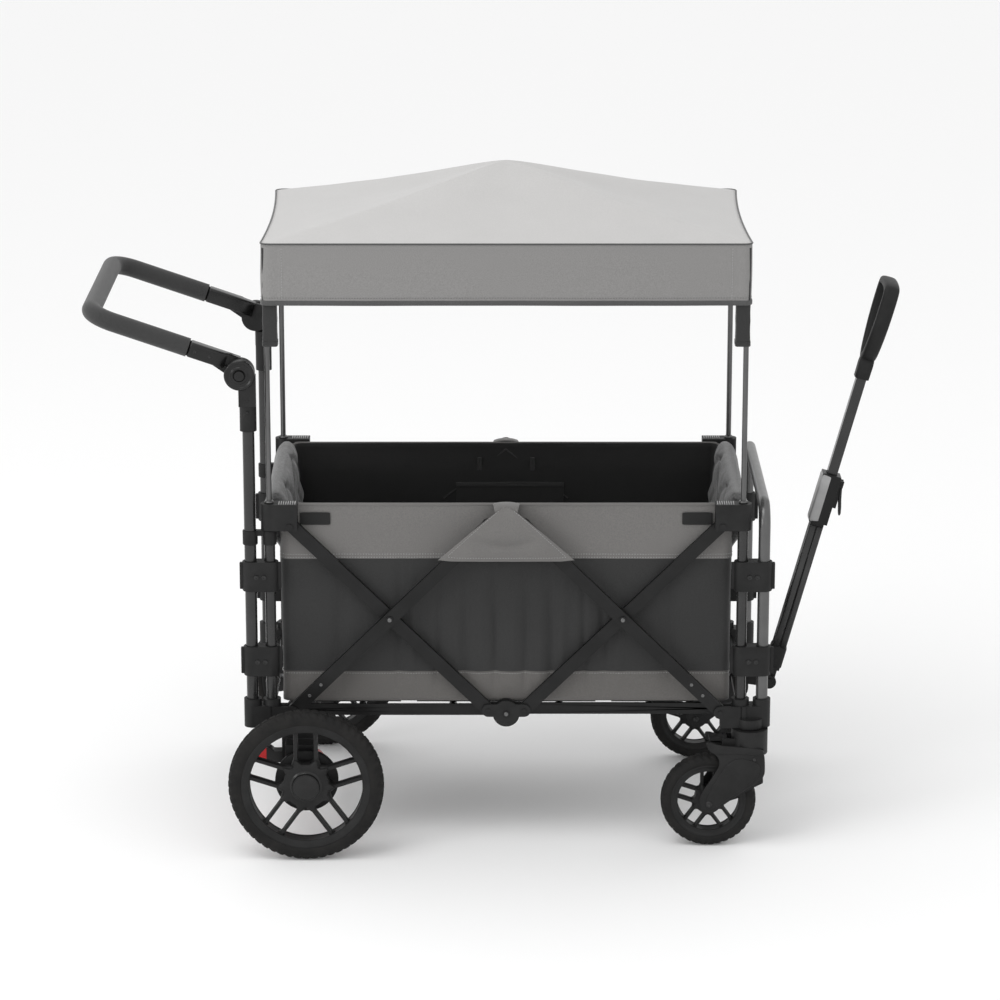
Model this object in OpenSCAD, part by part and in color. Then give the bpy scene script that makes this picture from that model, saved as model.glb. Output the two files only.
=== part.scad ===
// Folding pull wagon: two rigid end frames joined by scissor arms, a fabric basket, a canopy on
// four poles, a push handle behind and a telescopic pull handle in front.
// +X is forwards, +Y is the far side, +Z is up. The wagon stands on z = 0.

/* [Frame] */
// Distance between the corner posts along the wagon
post_span = 876; // [720:1:1060]
// Distance between the corner posts across the wagon
post_track = 490; // [400:1:600]
// Height of the lower arm pivots
pivot_low = 262; // [240:1:320]
// Height of the upper arm pivots
pivot_high = 622; // [520:1:760]
// Outer diameter of a corner post
post_d = 20; // [18:0.5:26]
// Outer diameter of a handle leg and of the front loop
leg_d = 22; // [19:0.5:27]
// Wall of every steel tube
tube_wall = 1.2; // [1:0.1:1.8]
// How far the legs and the front loop stand outside the posts
leg_gap = 36; // [32:1:50]

/* [Scissor arms] */
// Width of an arm
arm_w = 24; // [18:1:28]
// Thickness of an arm
arm_t = 11; // [8:0.5:13]
// Half distance between the two pivots of a hub
hub_half = 33.5; // [28:0.5:45]
// Diameter of a pivot pin
pin_d = 8; // [6:0.5:10]

/* [Basket and canopy] */
// Height of the basket rim
rim_z = 658; // [560:1:800]
// Thickness of the basket cloth as modelled
cloth = 2.5; // [2:0.5:4]
// Height of the canopy's eave
eave_z = 1155; // [1060:1:1260]
// Depth of the canopy's valance
valance_h = 113; // [80:1:150]
// Rise of the canopy's crown above its eave
crown_rise = 112; // [70:1:160]
// Diameter of a canopy pole
pole_d = 10; // [8:0.5:11]

/* [Wheels] */
// Diameter of a rear wheel
rear_wheel_d = 290; // [250:1:310]
// Distance between the middles of the rear wheels
rear_track = 662; // [640:1:760]
// Width of a rear tyre
rear_tyre_w = 40; // [32:1:48]
// Diameter of a caster wheel
caster_d = 179; // [150:1:190]
// Width of a caster tyre
caster_tyre_w = 36; // [28:1:40]
// Distance from the swivel axis back to the caster's axle
caster_trail = 76; // [60:1:90]

/* [Handles] */
// Length of the push handle from its hinge to the middle of the crossbar
push_length = 294; // [220:1:340]
// Angle of the push handle above the horizontal
push_angle = 19; // [0:1:45]
// Height of the push handle's hinge
push_hinge_z = 909; // [820:1:960]
// Diameter of the foam grip
grip_d = 35; // [30:1:42]
// Length of the pull handle from its hinge to the top of its grip
pull_length = 820; // [760:1:900]
// Lean of the pull handle from the vertical
pull_lean = 15.4; // [5:0.1:40]

/* [Hidden] */
$fn = 48;

coat = "#2b2b2d";
plastic = "#222224";
steel = "#8e8f92";
grey_cloth = "#8a8884";
dark_cloth = "#3a3a3c";
heather = "#6f6f71";
tyre_black = "#2a2a2b";
red = "#c8202c";

// Clearances
pin_gap = 0.1;      // radial, pin in its hole
fit_gap = 0.1;      // radial, tube held in a plastic part
slide_gap = 0.3;    // between sliding or folding neighbours
plate_gap = 0.5;    // between an arm and the plate beside it

post_x = post_span / 2;
post_y = post_track / 2;
inner_post_d = post_d - 2 * tube_wall - 2 * slide_gap;
leg_x = post_x + leg_gap;
loop_x = post_x + leg_gap + 4;

// Scissor geometry
pivot_x = post_x - 38;
arm_dx = pivot_x - hub_half;
arm_dz = pivot_high - pivot_low;
cross_x = hub_half + arm_dx / 2;
cross_z = (pivot_low + pivot_high) / 2;
inner_arm_y = post_y - 4;
outer_arm_y = inner_arm_y + arm_t + 1.5;
plate_t = 4;
head_t = 2.5;

// Floor rails: two flat bars per side that lap at the middle
rail_h = 22;
rail_t = 6;
rail_z = pivot_low - 5;
rail_pivot_x = pivot_x;
rail_length = rail_pivot_x + 12;
hub_inner_y = inner_arm_y - arm_t / 2 - plate_gap - plate_t;
rear_rail_y = hub_inner_y - 3 - rail_t / 2;
front_rail_y = rear_rail_y - rail_t - 0.7;

// Basket
basket_y = inner_arm_y - arm_t / 2 - 5;
basket_x = post_x - 17;
basket_z = pivot_low + 12;
pad_t = 20;

// Corner blocks and clamps
block_z0 = 232;
block_z1 = 286;
socket_z = 250;
block_r = 16.5;
clamp_r = 15.5;
clamp_h = 57;
clamp_zs = [332, 496];
collar_z = 585;
post_top = 612;
cap_z0 = 614;
cap_z1 = rim_z + 6;
cap_in = post_x - 52;
cap_y0 = basket_y + 0.8;
cap_y1 = outer_arm_y + arm_t / 2 + 3.5;
inner_post_z0 = 330;
inner_post_z1 = cap_z1 - 12;
pole_z0 = cap_z1 - 87;

// Wheels
rear_r = rear_wheel_d / 2;
rear_x = -(post_x - 66);
wheel_y = rear_track / 2;
axle_d = 12;
caster_r = caster_d / 2;
swivel_x = post_x + 18;
swivel_y = post_y + 8;
caster_x = swivel_x - caster_trail;
fork_z0 = 2 * caster_r + 4;
fork_z1 = block_z0 - 2;
cheek_t = 6;
stem_d = 12;
lock_x = 46;
lock_z = fork_z0 + 26;
lock_w = 30;
lock_pin_d = 4;
strut_y0 = post_y - 14;
strut_y1 = wheel_y - rear_tyre_w / 2 - 12;
strut_x0 = rear_x - 48;
strut_x1 = rear_x + 14;
brake_ring_r = 59;
brake_hole_r = 50;
brake_holes = 12;
brake_pin_d = 8;
pedal_y1 = strut_y0 - 1;
pedal_w = 24;
ring_y0 = strut_y1 + 2;

// Push handle
hinge_x = -(leg_x + 14);
hinge_r = 28;
lap_y = post_y + 1;
sleeve_z0 = push_hinge_z - 107;
sleeve_z1 = push_hinge_z - hinge_r - 1;
arm_rise = 14;
push_y = post_y - 8;
push_bend = 45;
button_r = 9;
button_t = 6;

// Pull handle
pull_x = loop_x + 30;
pull_z = pivot_low - 18;
outer_w = 26;
inner_w = 19;
outer_top = pull_length - 395;
inner_bottom = 240;
neck_s = pull_length - 200;
grip_s = pull_length - 172;
grip_w = 118;
grip_t = 26;
grip_r = 11;
latch_pin_d = 4;

// Canopy
canopy_x = post_x + 9;
canopy_y = post_y + 25;
valance_z = eave_z - valance_h;
canopy_t = 2.5;
sleeve_drop = 78;
sleeve_x = canopy_x - canopy_t - slide_gap;

// The origin is under the middle of the overall length.
rear_end = hinge_x - push_length * cos(push_angle) + arm_rise * sin(push_angle) - grip_d / 2;
front_end = pull_x + (grip_t / 2 - grip_r) * cos(pull_lean)
    + (pull_length - grip_r) * sin(pull_lean) + grip_r;
x_shift = -(rear_end + front_end) / 2;

// ---------- helpers ----------

module place() {
    translate([x_shift, 0, 0]) children();
}

// The same piece on the far side and, mirrored, on the near side
module both_sides() {
    children();
    mirror([0, 1, 0]) children();
}

module side(near) {
    mirror([0, near ? 1 : 0, 0]) children();
}

// The front end of the wagon is the rear end mirrored about the middle
module end(front) {
    mirror([front ? 1 : 0, 0, 0]) children();
}

module tube_z(x, y, z0, z1, d, wall) {
    translate([x, y, z0]) difference() {
        cylinder(h = z1 - z0, d = d);
        translate([0, 0, -1]) cylinder(h = z1 - z0 + 2, d = d - 2 * wall);
    }
}

// A round bar along Y from y0 to y1
module bar_y(x, z, y0, y1, d) {
    translate([x, y0, z]) rotate([-90, 0, 0]) cylinder(h = y1 - y0, d = d);
}

module box(x0, x1, y0, y1, z0, z1) {
    translate([x0, y0, z0]) cube([x1 - x0, y1 - y0, z1 - z0]);
}

// A flat link of width w between two points of the XZ plane, with a round eye at each end
module link(x0, z0, x1, z1, w, y0, y1, eye = 0) {
    length = sqrt(pow(x1 - x0, 2) + pow(z1 - z0, 2));
    bar_y(x0, z0, y0, y1, max(w, eye));
    bar_y(x1, z1, y0, y1, max(w, eye));
    translate([x0, y0, z0]) rotate([0, -atan2(z1 - z0, x1 - x0), 0])
        translate([0, 0, -w / 2]) cube([length, y1 - y0, w]);
}

// A pin along Y with a flat head at each end
module pin_y(x, z, y0, y1, d, head_d) {
    bar_y(x, z, y0, y1, d);
    bar_y(x, z, y1, y1 + head_t, head_d);
    bar_y(x, z, y0 - head_t, y0, head_d);
}

// ---------- scissor arms and hubs ----------

// Outer arm of one end: lower corner to top hub, with the rivet that joins it to the inner arm
module low_arms(front) {
    y0 = outer_arm_y - arm_t / 2;
    y1 = outer_arm_y + arm_t / 2;
    rivet_y0 = inner_arm_y - arm_t / 2 - plate_gap;
    end(front) both_sides() difference() {
        union() {
            link(-pivot_x, pivot_low, -hub_half, pivot_high, arm_w, y0, y1);
            bar_y(-cross_x, cross_z, rivet_y0, y1 + head_t, pin_d);
            bar_y(-cross_x, cross_z, y1 - 1, y1 + head_t, pin_d + 6);
            bar_y(-cross_x, cross_z, rivet_y0 - head_t, rivet_y0, pin_d + 6);
        }
        bar_y(-pivot_x, pivot_low, y0 - 1, y1 + 1, pin_d + 2 * pin_gap);
        bar_y(-hub_half, pivot_high, y0 - 1, y1 + 1, pin_d + 2 * pin_gap);
    }
}

// Inner arm of one end: upper corner to bottom hub
module high_arms(front) {
    y0 = inner_arm_y - arm_t / 2;
    y1 = inner_arm_y + arm_t / 2;
    end(front) both_sides() difference() {
        link(-pivot_x, pivot_high, -hub_half, pivot_low, arm_w, y0, y1);
        for (p = [[-pivot_x, pivot_high], [-hub_half, pivot_low], [-cross_x, cross_z]])
            bar_y(p[0], p[1], y0 - 1, y1 + 1, pin_d + 2 * pin_gap);
    }
}

// Two plates with a pin at each pivot, either side of the arms that meet there
module hub_plates(arm_y, z, disc_z, disc_d) {
    for (y0 = [arm_y - arm_t / 2 - plate_gap - plate_t, arm_y + arm_t / 2 + plate_gap]) {
        link(-hub_half, z, hub_half, z, arm_w, y0, y0 + plate_t);
        bar_y(0, disc_z, y0, y0 + plate_t, disc_d);
    }
    for (x = [-hub_half, hub_half])
        pin_y(x, z, arm_y - arm_t / 2 - plate_gap - plate_t, arm_y + arm_t / 2 + plate_gap + plate_t,
            pin_d, pin_d);
}

module top_hubs() {
    color(plastic) place() both_sides()
        hub_plates(outer_arm_y, pivot_high, rim_z - 22, 46);
}

module bottom_hubs() {
    color(plastic) place() both_sides() {
        hub_plates(inner_arm_y, pivot_low, pivot_low - 6, 50);
        bar_y(0, pivot_low - 6, inner_arm_y - arm_t / 2 - plate_gap - plate_t,
            inner_arm_y + arm_t / 2 + plate_gap + plate_t + head_t, 12);
    }
}

module rear_low_arms() { color(coat) place() low_arms(false); }
module front_low_arms() { color(coat) place() low_arms(true); }
module rear_high_arms() { color(coat) place() high_arms(false); }
module front_high_arms() { color(coat) place() high_arms(true); }

// ---------- end frames ----------

module posts(front) {
    end(front) both_sides()
        tube_z(-post_x, post_y, socket_z, post_top, post_d, tube_wall);
}

// Corner block: sockets for the post and the outer tube, and two ears for the low arm's pin
module corner_block(outer_x) {
    arm_y0 = outer_arm_y - arm_t / 2;
    arm_y1 = outer_arm_y + arm_t / 2;
    ear_out = 5;
    rail_pin_y = front_rail_y - rail_t / 2 - plate_gap;
    difference() {
        union() {
            translate([-post_x, post_y, block_z0]) cylinder(h = block_z1 - block_z0, r = block_r);
            translate([-outer_x, post_y, block_z0]) cylinder(h = block_z1 - block_z0, r = block_r);
            box(-outer_x, -post_x, post_y - block_r, post_y + block_r, block_z0, block_z1 - 12);
            // inner and outer ears
            box(-post_x, -pivot_x, post_y - 7, arm_y0 - plate_gap, block_z0, block_z1 - 12);
            bar_y(-pivot_x, pivot_low, post_y - 7, arm_y0 - plate_gap, 24);
            box(-post_x, -pivot_x, arm_y1 + plate_gap, arm_y1 + plate_gap + ear_out, block_z0,
                block_z1 - 12);
            bar_y(-pivot_x, pivot_low, arm_y1 + plate_gap, arm_y1 + plate_gap + ear_out, 24);
            box(-post_x - 10, -post_x - 2, post_y, arm_y1 + plate_gap + ear_out, block_z0,
                block_z1 - 12);
            // pin for the low arm, and a longer one inwards for the floor rail
            bar_y(-pivot_x, pivot_low, post_y - 7, arm_y1 + plate_gap + ear_out + head_t, pin_d);
            bar_y(-rail_pivot_x, rail_z, rail_pin_y, post_y - 6, pin_d);
            bar_y(-rail_pivot_x, rail_z, rail_pin_y - head_t, rail_pin_y, pin_d + 5);
        }
        // clear the turning end of the low arm
        difference() {
            bar_y(-pivot_x, pivot_low, arm_y0 - plate_gap, arm_y1 + plate_gap, arm_w + 3);
            bar_y(-pivot_x, pivot_low, arm_y0 - 2, arm_y1 + 2, pin_d);
        }
        translate([-post_x, post_y, socket_z]) cylinder(h = 60, d = post_d + 2 * fit_gap);
        translate([-outer_x, post_y, socket_z]) cylinder(h = 60, d = leg_d + 2 * fit_gap);
    }
}

// Clamp that ties a post to the tube beside it: a flat-faced shell with a screw flange at each end
module clamp_pair(outer_x, z0, height) {
    difference() {
        union() {
            translate([-post_x, post_y, z0]) cylinder(h = height, r = clamp_r);
            translate([-outer_x, post_y, z0]) cylinder(h = height, r = clamp_r);
            box(-outer_x, -post_x, post_y - clamp_r, post_y + clamp_r, z0, z0 + height);
            box(-outer_x - clamp_r - 5, -outer_x, post_y - 4, post_y + 4, z0 + 3, z0 + height - 3);
            box(-post_x, -post_x + clamp_r + 5, post_y - 4, post_y + 4, z0 + 3, z0 + height - 3);
        }
        translate([-post_x, post_y, z0 - 1]) cylinder(h = height + 2, d = post_d + 2 * fit_gap);
        translate([-outer_x, post_y, z0 - 1]) cylinder(h = height + 2, d = leg_d + 2 * fit_gap);
    }
}

module clamps(front, outer_x, collars) {
    end(front) both_sides() {
        for (z = clamp_zs) clamp_pair(outer_x, z, clamp_h);
        if (collars) difference() {
            union() {
                translate([-post_x, post_y, collar_z]) cylinder(h = post_top - collar_z, r = 13);
                translate([-outer_x, post_y, collar_z]) cylinder(h = post_top - collar_z, r = 14);
                box(-outer_x, -post_x, post_y - 7, post_y + 7, post_top - 10, post_top);
            }
            translate([-post_x, post_y, 0]) cylinder(h = 999, d = post_d + 2 * fit_gap);
            translate([-outer_x, post_y, 0]) cylinder(h = 999, d = leg_d + 2 * fit_gap);
        }
    }
}

// Two socket screws on the outer face of each clamp
module screws(front, outer_x) {
    middle = (post_x + outer_x) / 2;
    end(front) both_sides()
        for (z = clamp_zs, dx = [-7, 7])
            translate([-middle + dx, post_y + clamp_r, z + clamp_h / 2]) rotate([-90, 0, 0])
                difference() {
                    cylinder(h = 2.2, d = 8.5);
                    translate([0, 0, 1]) cylinder(h = 3, d = 4);
                }
}

module rear_posts() { color(coat) place() posts(false); }
module front_posts() { color(coat) place() posts(true); }
module rear_clamps() { color(plastic) place() clamps(false, leg_x, true); }
module front_clamps() { color(plastic) place() clamps(true, loop_x, false); }
module rear_screws() { color(steel) place() screws(false, leg_x); }
module front_screws() { color(steel) place() screws(true, loop_x); }
module push_handle_legs() {
    color(coat) place() both_sides()
        tube_z(-leg_x, post_y, socket_z, push_hinge_z - 40, leg_d, tube_wall);
}

// Plain block on the rear, with a spigot down to each axle strut
module rear_corner_blocks() {
    color(plastic) place() both_sides() corner_block(leg_x);
}

// Front block, drilled from below for the caster's stem
module front_corner_blocks() {
    color(plastic) place() end(true) both_sides() difference() {
        union() {
            corner_block(loop_x);
            translate([-swivel_x, swivel_y, block_z0]) cylinder(h = 18, r = 24);
        }
        translate([-swivel_x, swivel_y, block_z0 - 1]) cylinder(h = 15, d = stem_d + 2 * pin_gap);
    }
}

// Hanger that drops from the corner block to the axle, with the hole for the brake pin
module axle_struts() {
    color(plastic) place() both_sides() difference() {
        union() {
            box(strut_x0, strut_x1, strut_y0, post_y + block_r, rear_r + 20, block_z0);
            box(strut_x0 + 8, strut_x1, post_y + 6, strut_y1, rear_r + 20, rear_r + 66);
            bar_y(rear_x, rear_r, strut_y0, strut_y1, 44);
            box(rear_x - 22, rear_x + 14, strut_y0, strut_y1, rear_r, rear_r + 30);
        }
        bar_y(rear_x, rear_r, strut_y0 - 1, strut_y1 + 1, axle_d + 2 * fit_gap);
        bar_y(rear_x, rear_r + brake_hole_r, strut_y0 - 1, strut_y1 + 1,
            brake_pin_d + 2 * slide_gap);
    }
}

module rear_axle() {
    color(steel) place() bar_y(rear_x, rear_r, -wheel_y - 12, wheel_y + 12, axle_d);
}

// Lower cross tube between the two corner blocks of an end
module cross_tube() {
    bar_y(-(post_x + 6), pivot_low - 8, -(post_y - block_r), post_y - block_r, 20);
}

module rear_cross_tube() {
    color(coat) place() cross_tube();
}

// Front cross tube with the clevis that carries the pull handle
module front_cross_tube() {
    clevis_t = 6;
    half = outer_w / 2 + plate_gap;
    color(coat) place() {
        end(true) cross_tube();
        for (y = [-half - clevis_t, half])
            link(post_x + 6, pivot_low - 8, pull_x, pull_z, 20, y, y + clevis_t, 27);
        pin_y(pull_x, pull_z, -half - clevis_t, half + clevis_t, pin_d, pin_d + 6);
    }
}

// Inverted U of tube across the front, from block to block
module front_loop() {
    bend = 42;
    top = rim_z - 3;
    color(coat) place() {
        both_sides() {
            tube_z(loop_x, post_y, socket_z, top - bend, leg_d, tube_wall);
            translate([loop_x, post_y - bend, top - bend]) rotate([90, 0, 90])
                rotate_extrude(angle = 90) translate([bend, 0]) difference() {
                    circle(d = leg_d);
                    circle(d = leg_d - 2 * tube_wall);
                }
        }
        translate([loop_x, -(post_y - bend), top]) rotate([-90, 0, 0]) difference() {
            cylinder(h = 2 * (post_y - bend), d = leg_d);
            translate([0, 0, -1]) cylinder(h = post_track, d = leg_d - 2 * tube_wall);
        }
    }
}

// ---------- corner caps that slide up as the wagon folds ----------

module caps(front) {
    slot_y0 = inner_arm_y - arm_t / 2 - plate_gap;
    slot_y1 = inner_arm_y + arm_t / 2 + plate_gap;
    end(front) both_sides() {
        difference() {
            union() {
                box(-post_x, -cap_in, cap_y0, cap_y1, cap_z0, cap_z1);
                translate([-post_x, (cap_y0 + cap_y1) / 2, cap_z0])
                    cylinder(h = cap_z1 - cap_z0, d = cap_y1 - cap_y0);
            }
            // room for the high arm's end through its whole swing
            box(-pivot_x - arm_w / 2 - 2, -cap_in + 1, slot_y0, slot_y1, cap_z0 - 1,
                pivot_high + arm_w / 2 + 2);
            bar_y(-pivot_x, pivot_high, cap_y0 - 1, cap_y1 + 1, pin_d);
            translate([-post_x, post_y, cap_z0 - 1])
                cylinder(h = inner_post_z1 - cap_z0 + 1, d = inner_post_d + 2 * fit_gap);
            translate([-post_x, post_y, cap_z0]) cylinder(h = 99, d = pole_d + 2 * slide_gap);
        }
        bar_y(-pivot_x, pivot_high, cap_y0, cap_y1, pin_d);
        bar_y(-pivot_x, pivot_high, cap_y1, cap_y1 + head_t, pin_d + 4);
    }
}

// Inner posts that slide in the corner posts, and the tube across the rim
module top_tubes(front) {
    rim_tube_z = cap_z0 + 24;
    end(front) {
        both_sides()
            tube_z(-post_x, post_y, inner_post_z0, inner_post_z1, inner_post_d, tube_wall);
        bar_y(-(post_x + 3), rim_tube_z, -cap_y0, cap_y0, 14);
    }
}

module rear_caps() { color(plastic) place() caps(false); }
module front_caps() { color(plastic) place() caps(true); }
module rear_top_tubes() { color(steel) place() top_tubes(false); }
module front_top_tubes() { color(steel) place() top_tubes(true); }

// ---------- floor rails ----------

module floor_rails(front, y) {
    end(front) {
        both_sides() difference() {
            union() {
                bar_y(-rail_pivot_x, rail_z, y - rail_t / 2, y + rail_t / 2, rail_h);
                box(-rail_pivot_x, -rail_pivot_x + rail_length, y - rail_t / 2, y + rail_t / 2,
                    rail_z - rail_h / 2, rail_z + rail_h / 2);
            }
            bar_y(-rail_pivot_x, rail_z, y - rail_t, y + rail_t, pin_d + 2 * pin_gap);
        }
        for (x = [130, 300])
            bar_y(-rail_pivot_x + x, rail_z, -(y - rail_t / 2), y - rail_t / 2, 14);
    }
}

module rear_floor_rails() { color(coat) place() floor_rails(false, rear_rail_y); }
module front_floor_rails() { color(coat) place() floor_rails(true, front_rail_y); }

// ---------- basket ----------

module basket_liner() {
    color(dark_cloth) place() difference() {
        box(-basket_x, basket_x, -basket_y, basket_y, basket_z, rim_z);
        box(-basket_x + cloth, basket_x - cloth, -basket_y + cloth, basket_y - cloth,
            basket_z + cloth, rim_z + 1);
    }
}

module floor_mat() {
    inset = cloth + 2;
    reach = basket_x - cloth - pad_t - 1;
    color(dark_cloth) place()
        box(-reach, reach, -basket_y + inset, basket_y - inset, basket_z + cloth + slide_gap,
            basket_z + cloth + 14);
}

module end_pad(front) {
    inset = cloth + 3;
    end(front)
        box(-basket_x + cloth + slide_gap, -basket_x + cloth + pad_t, -basket_y + inset,
            basket_y - inset, basket_z + cloth + 15, rim_z + 4);
}

module rear_end_pad() { color(heather) place() end_pad(false); }
module front_end_pad() { color(heather) place() end_pad(true); }

// Cloth triangle over each top hub, joined to the rim above it
module side_flaps() {
    y0 = outer_arm_y + arm_t / 2 + plate_gap + plate_t + head_t + slide_gap;
    low = rim_z - 108;
    color(grey_cloth) place() both_sides() {
        translate([0, y0 + 2, 0]) rotate([90, 0, 0]) linear_extrude(2)
            polygon([[-26, rim_z + 1], [-128, low], [128, low], [26, rim_z + 1]]);
        box(-26, 26, basket_y + 0.3, y0 + 2, rim_z + 1, rim_z + 3);
    }
}

// ---------- push handle ----------

// Sleeve on top of a leg, with the outer cheek of the hinge
module handle_sleeves() {
    outer_y = lap_y + 17;
    color(plastic) place() both_sides() difference() {
        union() {
            translate([-leg_x, post_y, sleeve_z0])
                cylinder(h = sleeve_z1 - sleeve_z0, r = clamp_r);
            box(-leg_x - 16, -leg_x + clamp_r, lap_y, outer_y, sleeve_z1 - 30, push_hinge_z);
            bar_y(hinge_x, push_hinge_z, lap_y, outer_y, 2 * hinge_r);
            bar_y(hinge_x, push_hinge_z, lap_y - 18, outer_y - 4, pin_d);
        }
        translate([-leg_x, post_y, 0])
            cylinder(h = push_hinge_z - 40, d = leg_d + 2 * fit_gap);
        difference() {
            bar_y(hinge_x, push_hinge_z, outer_y - 10, outer_y + 1,
                2 * button_r + 2 * slide_gap);
            bar_y(hinge_x, push_hinge_z, outer_y - 10, outer_y - 8.5, pin_d);
        }
    }
}

module push_frame() {
    translate([hinge_x, 0, push_hinge_z]) rotate([0, push_angle, 0]) children();
}

// Inner cheek of the hinge and the socket for the push tube
module handle_arms() {
    cheek_y0 = lap_y - 17.5;
    cheek_y1 = lap_y - slide_gap;
    color(plastic) place() push_frame() both_sides() difference() {
        union() {
            bar_y(0, 0, cheek_y0, cheek_y1, 2 * hinge_r - 2);
            translate([0, cheek_y1, 0]) rotate([90, 0, 0]) linear_extrude(cheek_y1 - cheek_y0)
                polygon([[0, -16], [-66, arm_rise - 11], [-66, arm_rise + 11], [0, 24]]);
            translate([-60, push_y, arm_rise]) rotate([0, -90, 0]) cylinder(h = 38, r = 14);
        }
        bar_y(0, 0, cheek_y0 - 1, cheek_y1 + 1, pin_d + 2 * pin_gap);
        translate([-46, push_y, arm_rise]) rotate([0, -90, 0])
            cylinder(h = 70, d = leg_d - 2 + 2 * fit_gap);
    }
}

// A U in the handle's own plane: two straight arms, two bends and the crossbar
module handle_u(x0, d) {
    reach = push_length - push_bend;
    both_sides() {
        translate([-x0, push_y, arm_rise]) rotate([0, -90, 0]) cylinder(h = reach - x0, d = d);
        translate([-reach, push_y - push_bend, arm_rise]) rotate([0, 0, 90])
            rotate_extrude(angle = 90) translate([push_bend, 0]) circle(d = d);
    }
    bar_y(-push_length, arm_rise, -(push_y - push_bend), push_y - push_bend, d);
}

module push_tube() {
    color(coat) place() push_frame() handle_u(47, leg_d - 2);
}

module push_grip() {
    color("#4a4a4d") place() push_frame() difference() {
        handle_u(104, grip_d);
        handle_u(90, leg_d - 2 + 2 * fit_gap);
    }
}

module hub_button(near) {
    outer_y = lap_y + 17;
    side(near) bar_y(hinge_x, push_hinge_z, outer_y - 4, outer_y - 4 + button_t + 3,
        2 * button_r);
}

module hub_button_near() { color("#38383b") place() hub_button(true); }
module hub_button_far() { color("#38383b") place() hub_button(false); }

// ---------- wheels ----------

// A wheel's tyre about its own Y axis: round tread, hollow bore
module tyre(r, bore_r, w) {
    shoulder = w * 0.32;
    rotate([-90, 0, 0]) rotate_extrude($fn = 96) {
        translate([r - shoulder, 0]) difference() {
            circle(r = shoulder);
            translate([-2 * shoulder, -shoulder]) square([2 * shoulder, 2 * shoulder]);
        }
        translate([bore_r, -w / 2]) square([r - shoulder - bore_r - 3, w]);
        translate([r - shoulder - 3, -shoulder]) square([3, 2 * shoulder]);
    }
}

// Rim with a barrel, five twin spokes and a hub bored for its axle
module rim(barrel_r, barrel_in, w, hub_r, bore_d, spoke_gap, spoke_w) {
    spoke_t = w - 14;
    rotate([-90, 0, 0]) difference() {
        union() {
            difference() {
                translate([0, 0, -w / 2]) cylinder(h = w, r = barrel_r, $fn = 96);
                translate([0, 0, -w / 2 - 1]) cylinder(h = w + 2, r = barrel_in, $fn = 96);
            }
            translate([0, 0, -w / 2 + 3]) cylinder(h = w - 6, r = hub_r);
            for (i = [0:4], s = [-1, 1]) rotate([0, 0, 72 * i - 90])
                translate([hub_r * 0.6, s * spoke_gap / 2 - spoke_w / 2, -spoke_t / 2])
                    cube([barrel_in + 2 - hub_r * 0.6, spoke_w, spoke_t]);
        }
        translate([0, 0, -w]) cylinder(h = 2 * w, d = bore_d);
    }
}

rear_rim_r = rear_r - 27;
module rear_tyre(near) {
    translate([rear_x, near ? -wheel_y : wheel_y, rear_r])
        tyre(rear_r, rear_rim_r + fit_gap, rear_tyre_w);
}

// Rear rim with the brake ring on its inner side and a cap over the axle's end
module rear_rim(near) {
    side(near) translate([rear_x, wheel_y, rear_r]) {
        difference() {
            union() {
                rim(rear_rim_r, rear_rim_r - 12, rear_tyre_w - 8, 42, 8, 37, 6);
                translate([0, ring_y0 - wheel_y, 0]) rotate([-90, 0, 0]) {
                    cylinder(h = wheel_y - ring_y0, r = 24);
                    cylinder(h = 5, r = brake_ring_r);
                }
                translate([0, 10, 0]) rotate([-90, 0, 0]) cylinder(h = 12, r = 25);
            }
            translate([0, -99, 0]) rotate([-90, 0, 0])
                cylinder(h = 99 + 13, d = axle_d + 2 * pin_gap);
            for (i = [0:brake_holes - 1]) rotate([0, i * 360 / brake_holes, 0])
                translate([0, ring_y0 - wheel_y - 1, brake_hole_r]) rotate([-90, 0, 0])
                    cylinder(h = 7, d = brake_pin_d + 4);
        }
    }
}

module rear_tyre_near() { color(tyre_black) place() rear_tyre(true); }
module rear_tyre_far() { color(tyre_black) place() rear_tyre(false); }
module rear_rim_near() { color(plastic) place() rear_rim(true); }
module rear_rim_far() { color(plastic) place() rear_rim(false); }

// Caster: swivel head on a stem, two fork arms down to the axle, ears for the lock lever
module caster_fork(near) {
    cheek_y = caster_tyre_w / 2 + 3;
    side(near) translate([swivel_x, swivel_y, 0]) {
        translate([0, 0, fork_z0]) cylinder(h = fork_z1 - fork_z0, r = 34);
        translate([0, 0, fork_z1 - 1]) cylinder(h = 13, d = stem_d);
        box(-46, 0, -cheek_y - cheek_t, cheek_y + cheek_t, fork_z0, fork_z0 + 16);
        for (y = [-cheek_y - cheek_t, cheek_y]) {
            bar_y(-caster_trail, caster_r, y, y + cheek_t, 32);
            translate([0, y + cheek_t, 0]) rotate([90, 0, 0]) linear_extrude(cheek_t)
                polygon([[-caster_trail - 12, caster_r + 10], [-caster_trail + 9, caster_r - 13],
                    [2, 2 * caster_r - 62], [25, 2 * caster_r - 50], [25, fork_z0 + 14],
                    [-46, fork_z0 + 14], [-46, 2 * caster_r - 40]]);
        }
        pin_y(-caster_trail, caster_r, -cheek_y - cheek_t, cheek_y + cheek_t, pin_d, pin_d + 7);
        // ears and pin of the swivel lock
        for (y = [-lock_w / 2 - slide_gap - 5, lock_w / 2 + slide_gap])
            box(-lock_x - 6, -20, y, y + 5, fork_z0 + 8, lock_z + 5);
        bar_y(-lock_x, lock_z, -lock_w / 2 - 3, lock_w / 2 + 3, lock_pin_d);
    }
}

caster_rim_r = caster_r - 21;
module caster_tyre(near) {
    translate([caster_x, near ? -swivel_y : swivel_y, caster_r])
        tyre(caster_r, caster_rim_r + fit_gap, caster_tyre_w);
}

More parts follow.
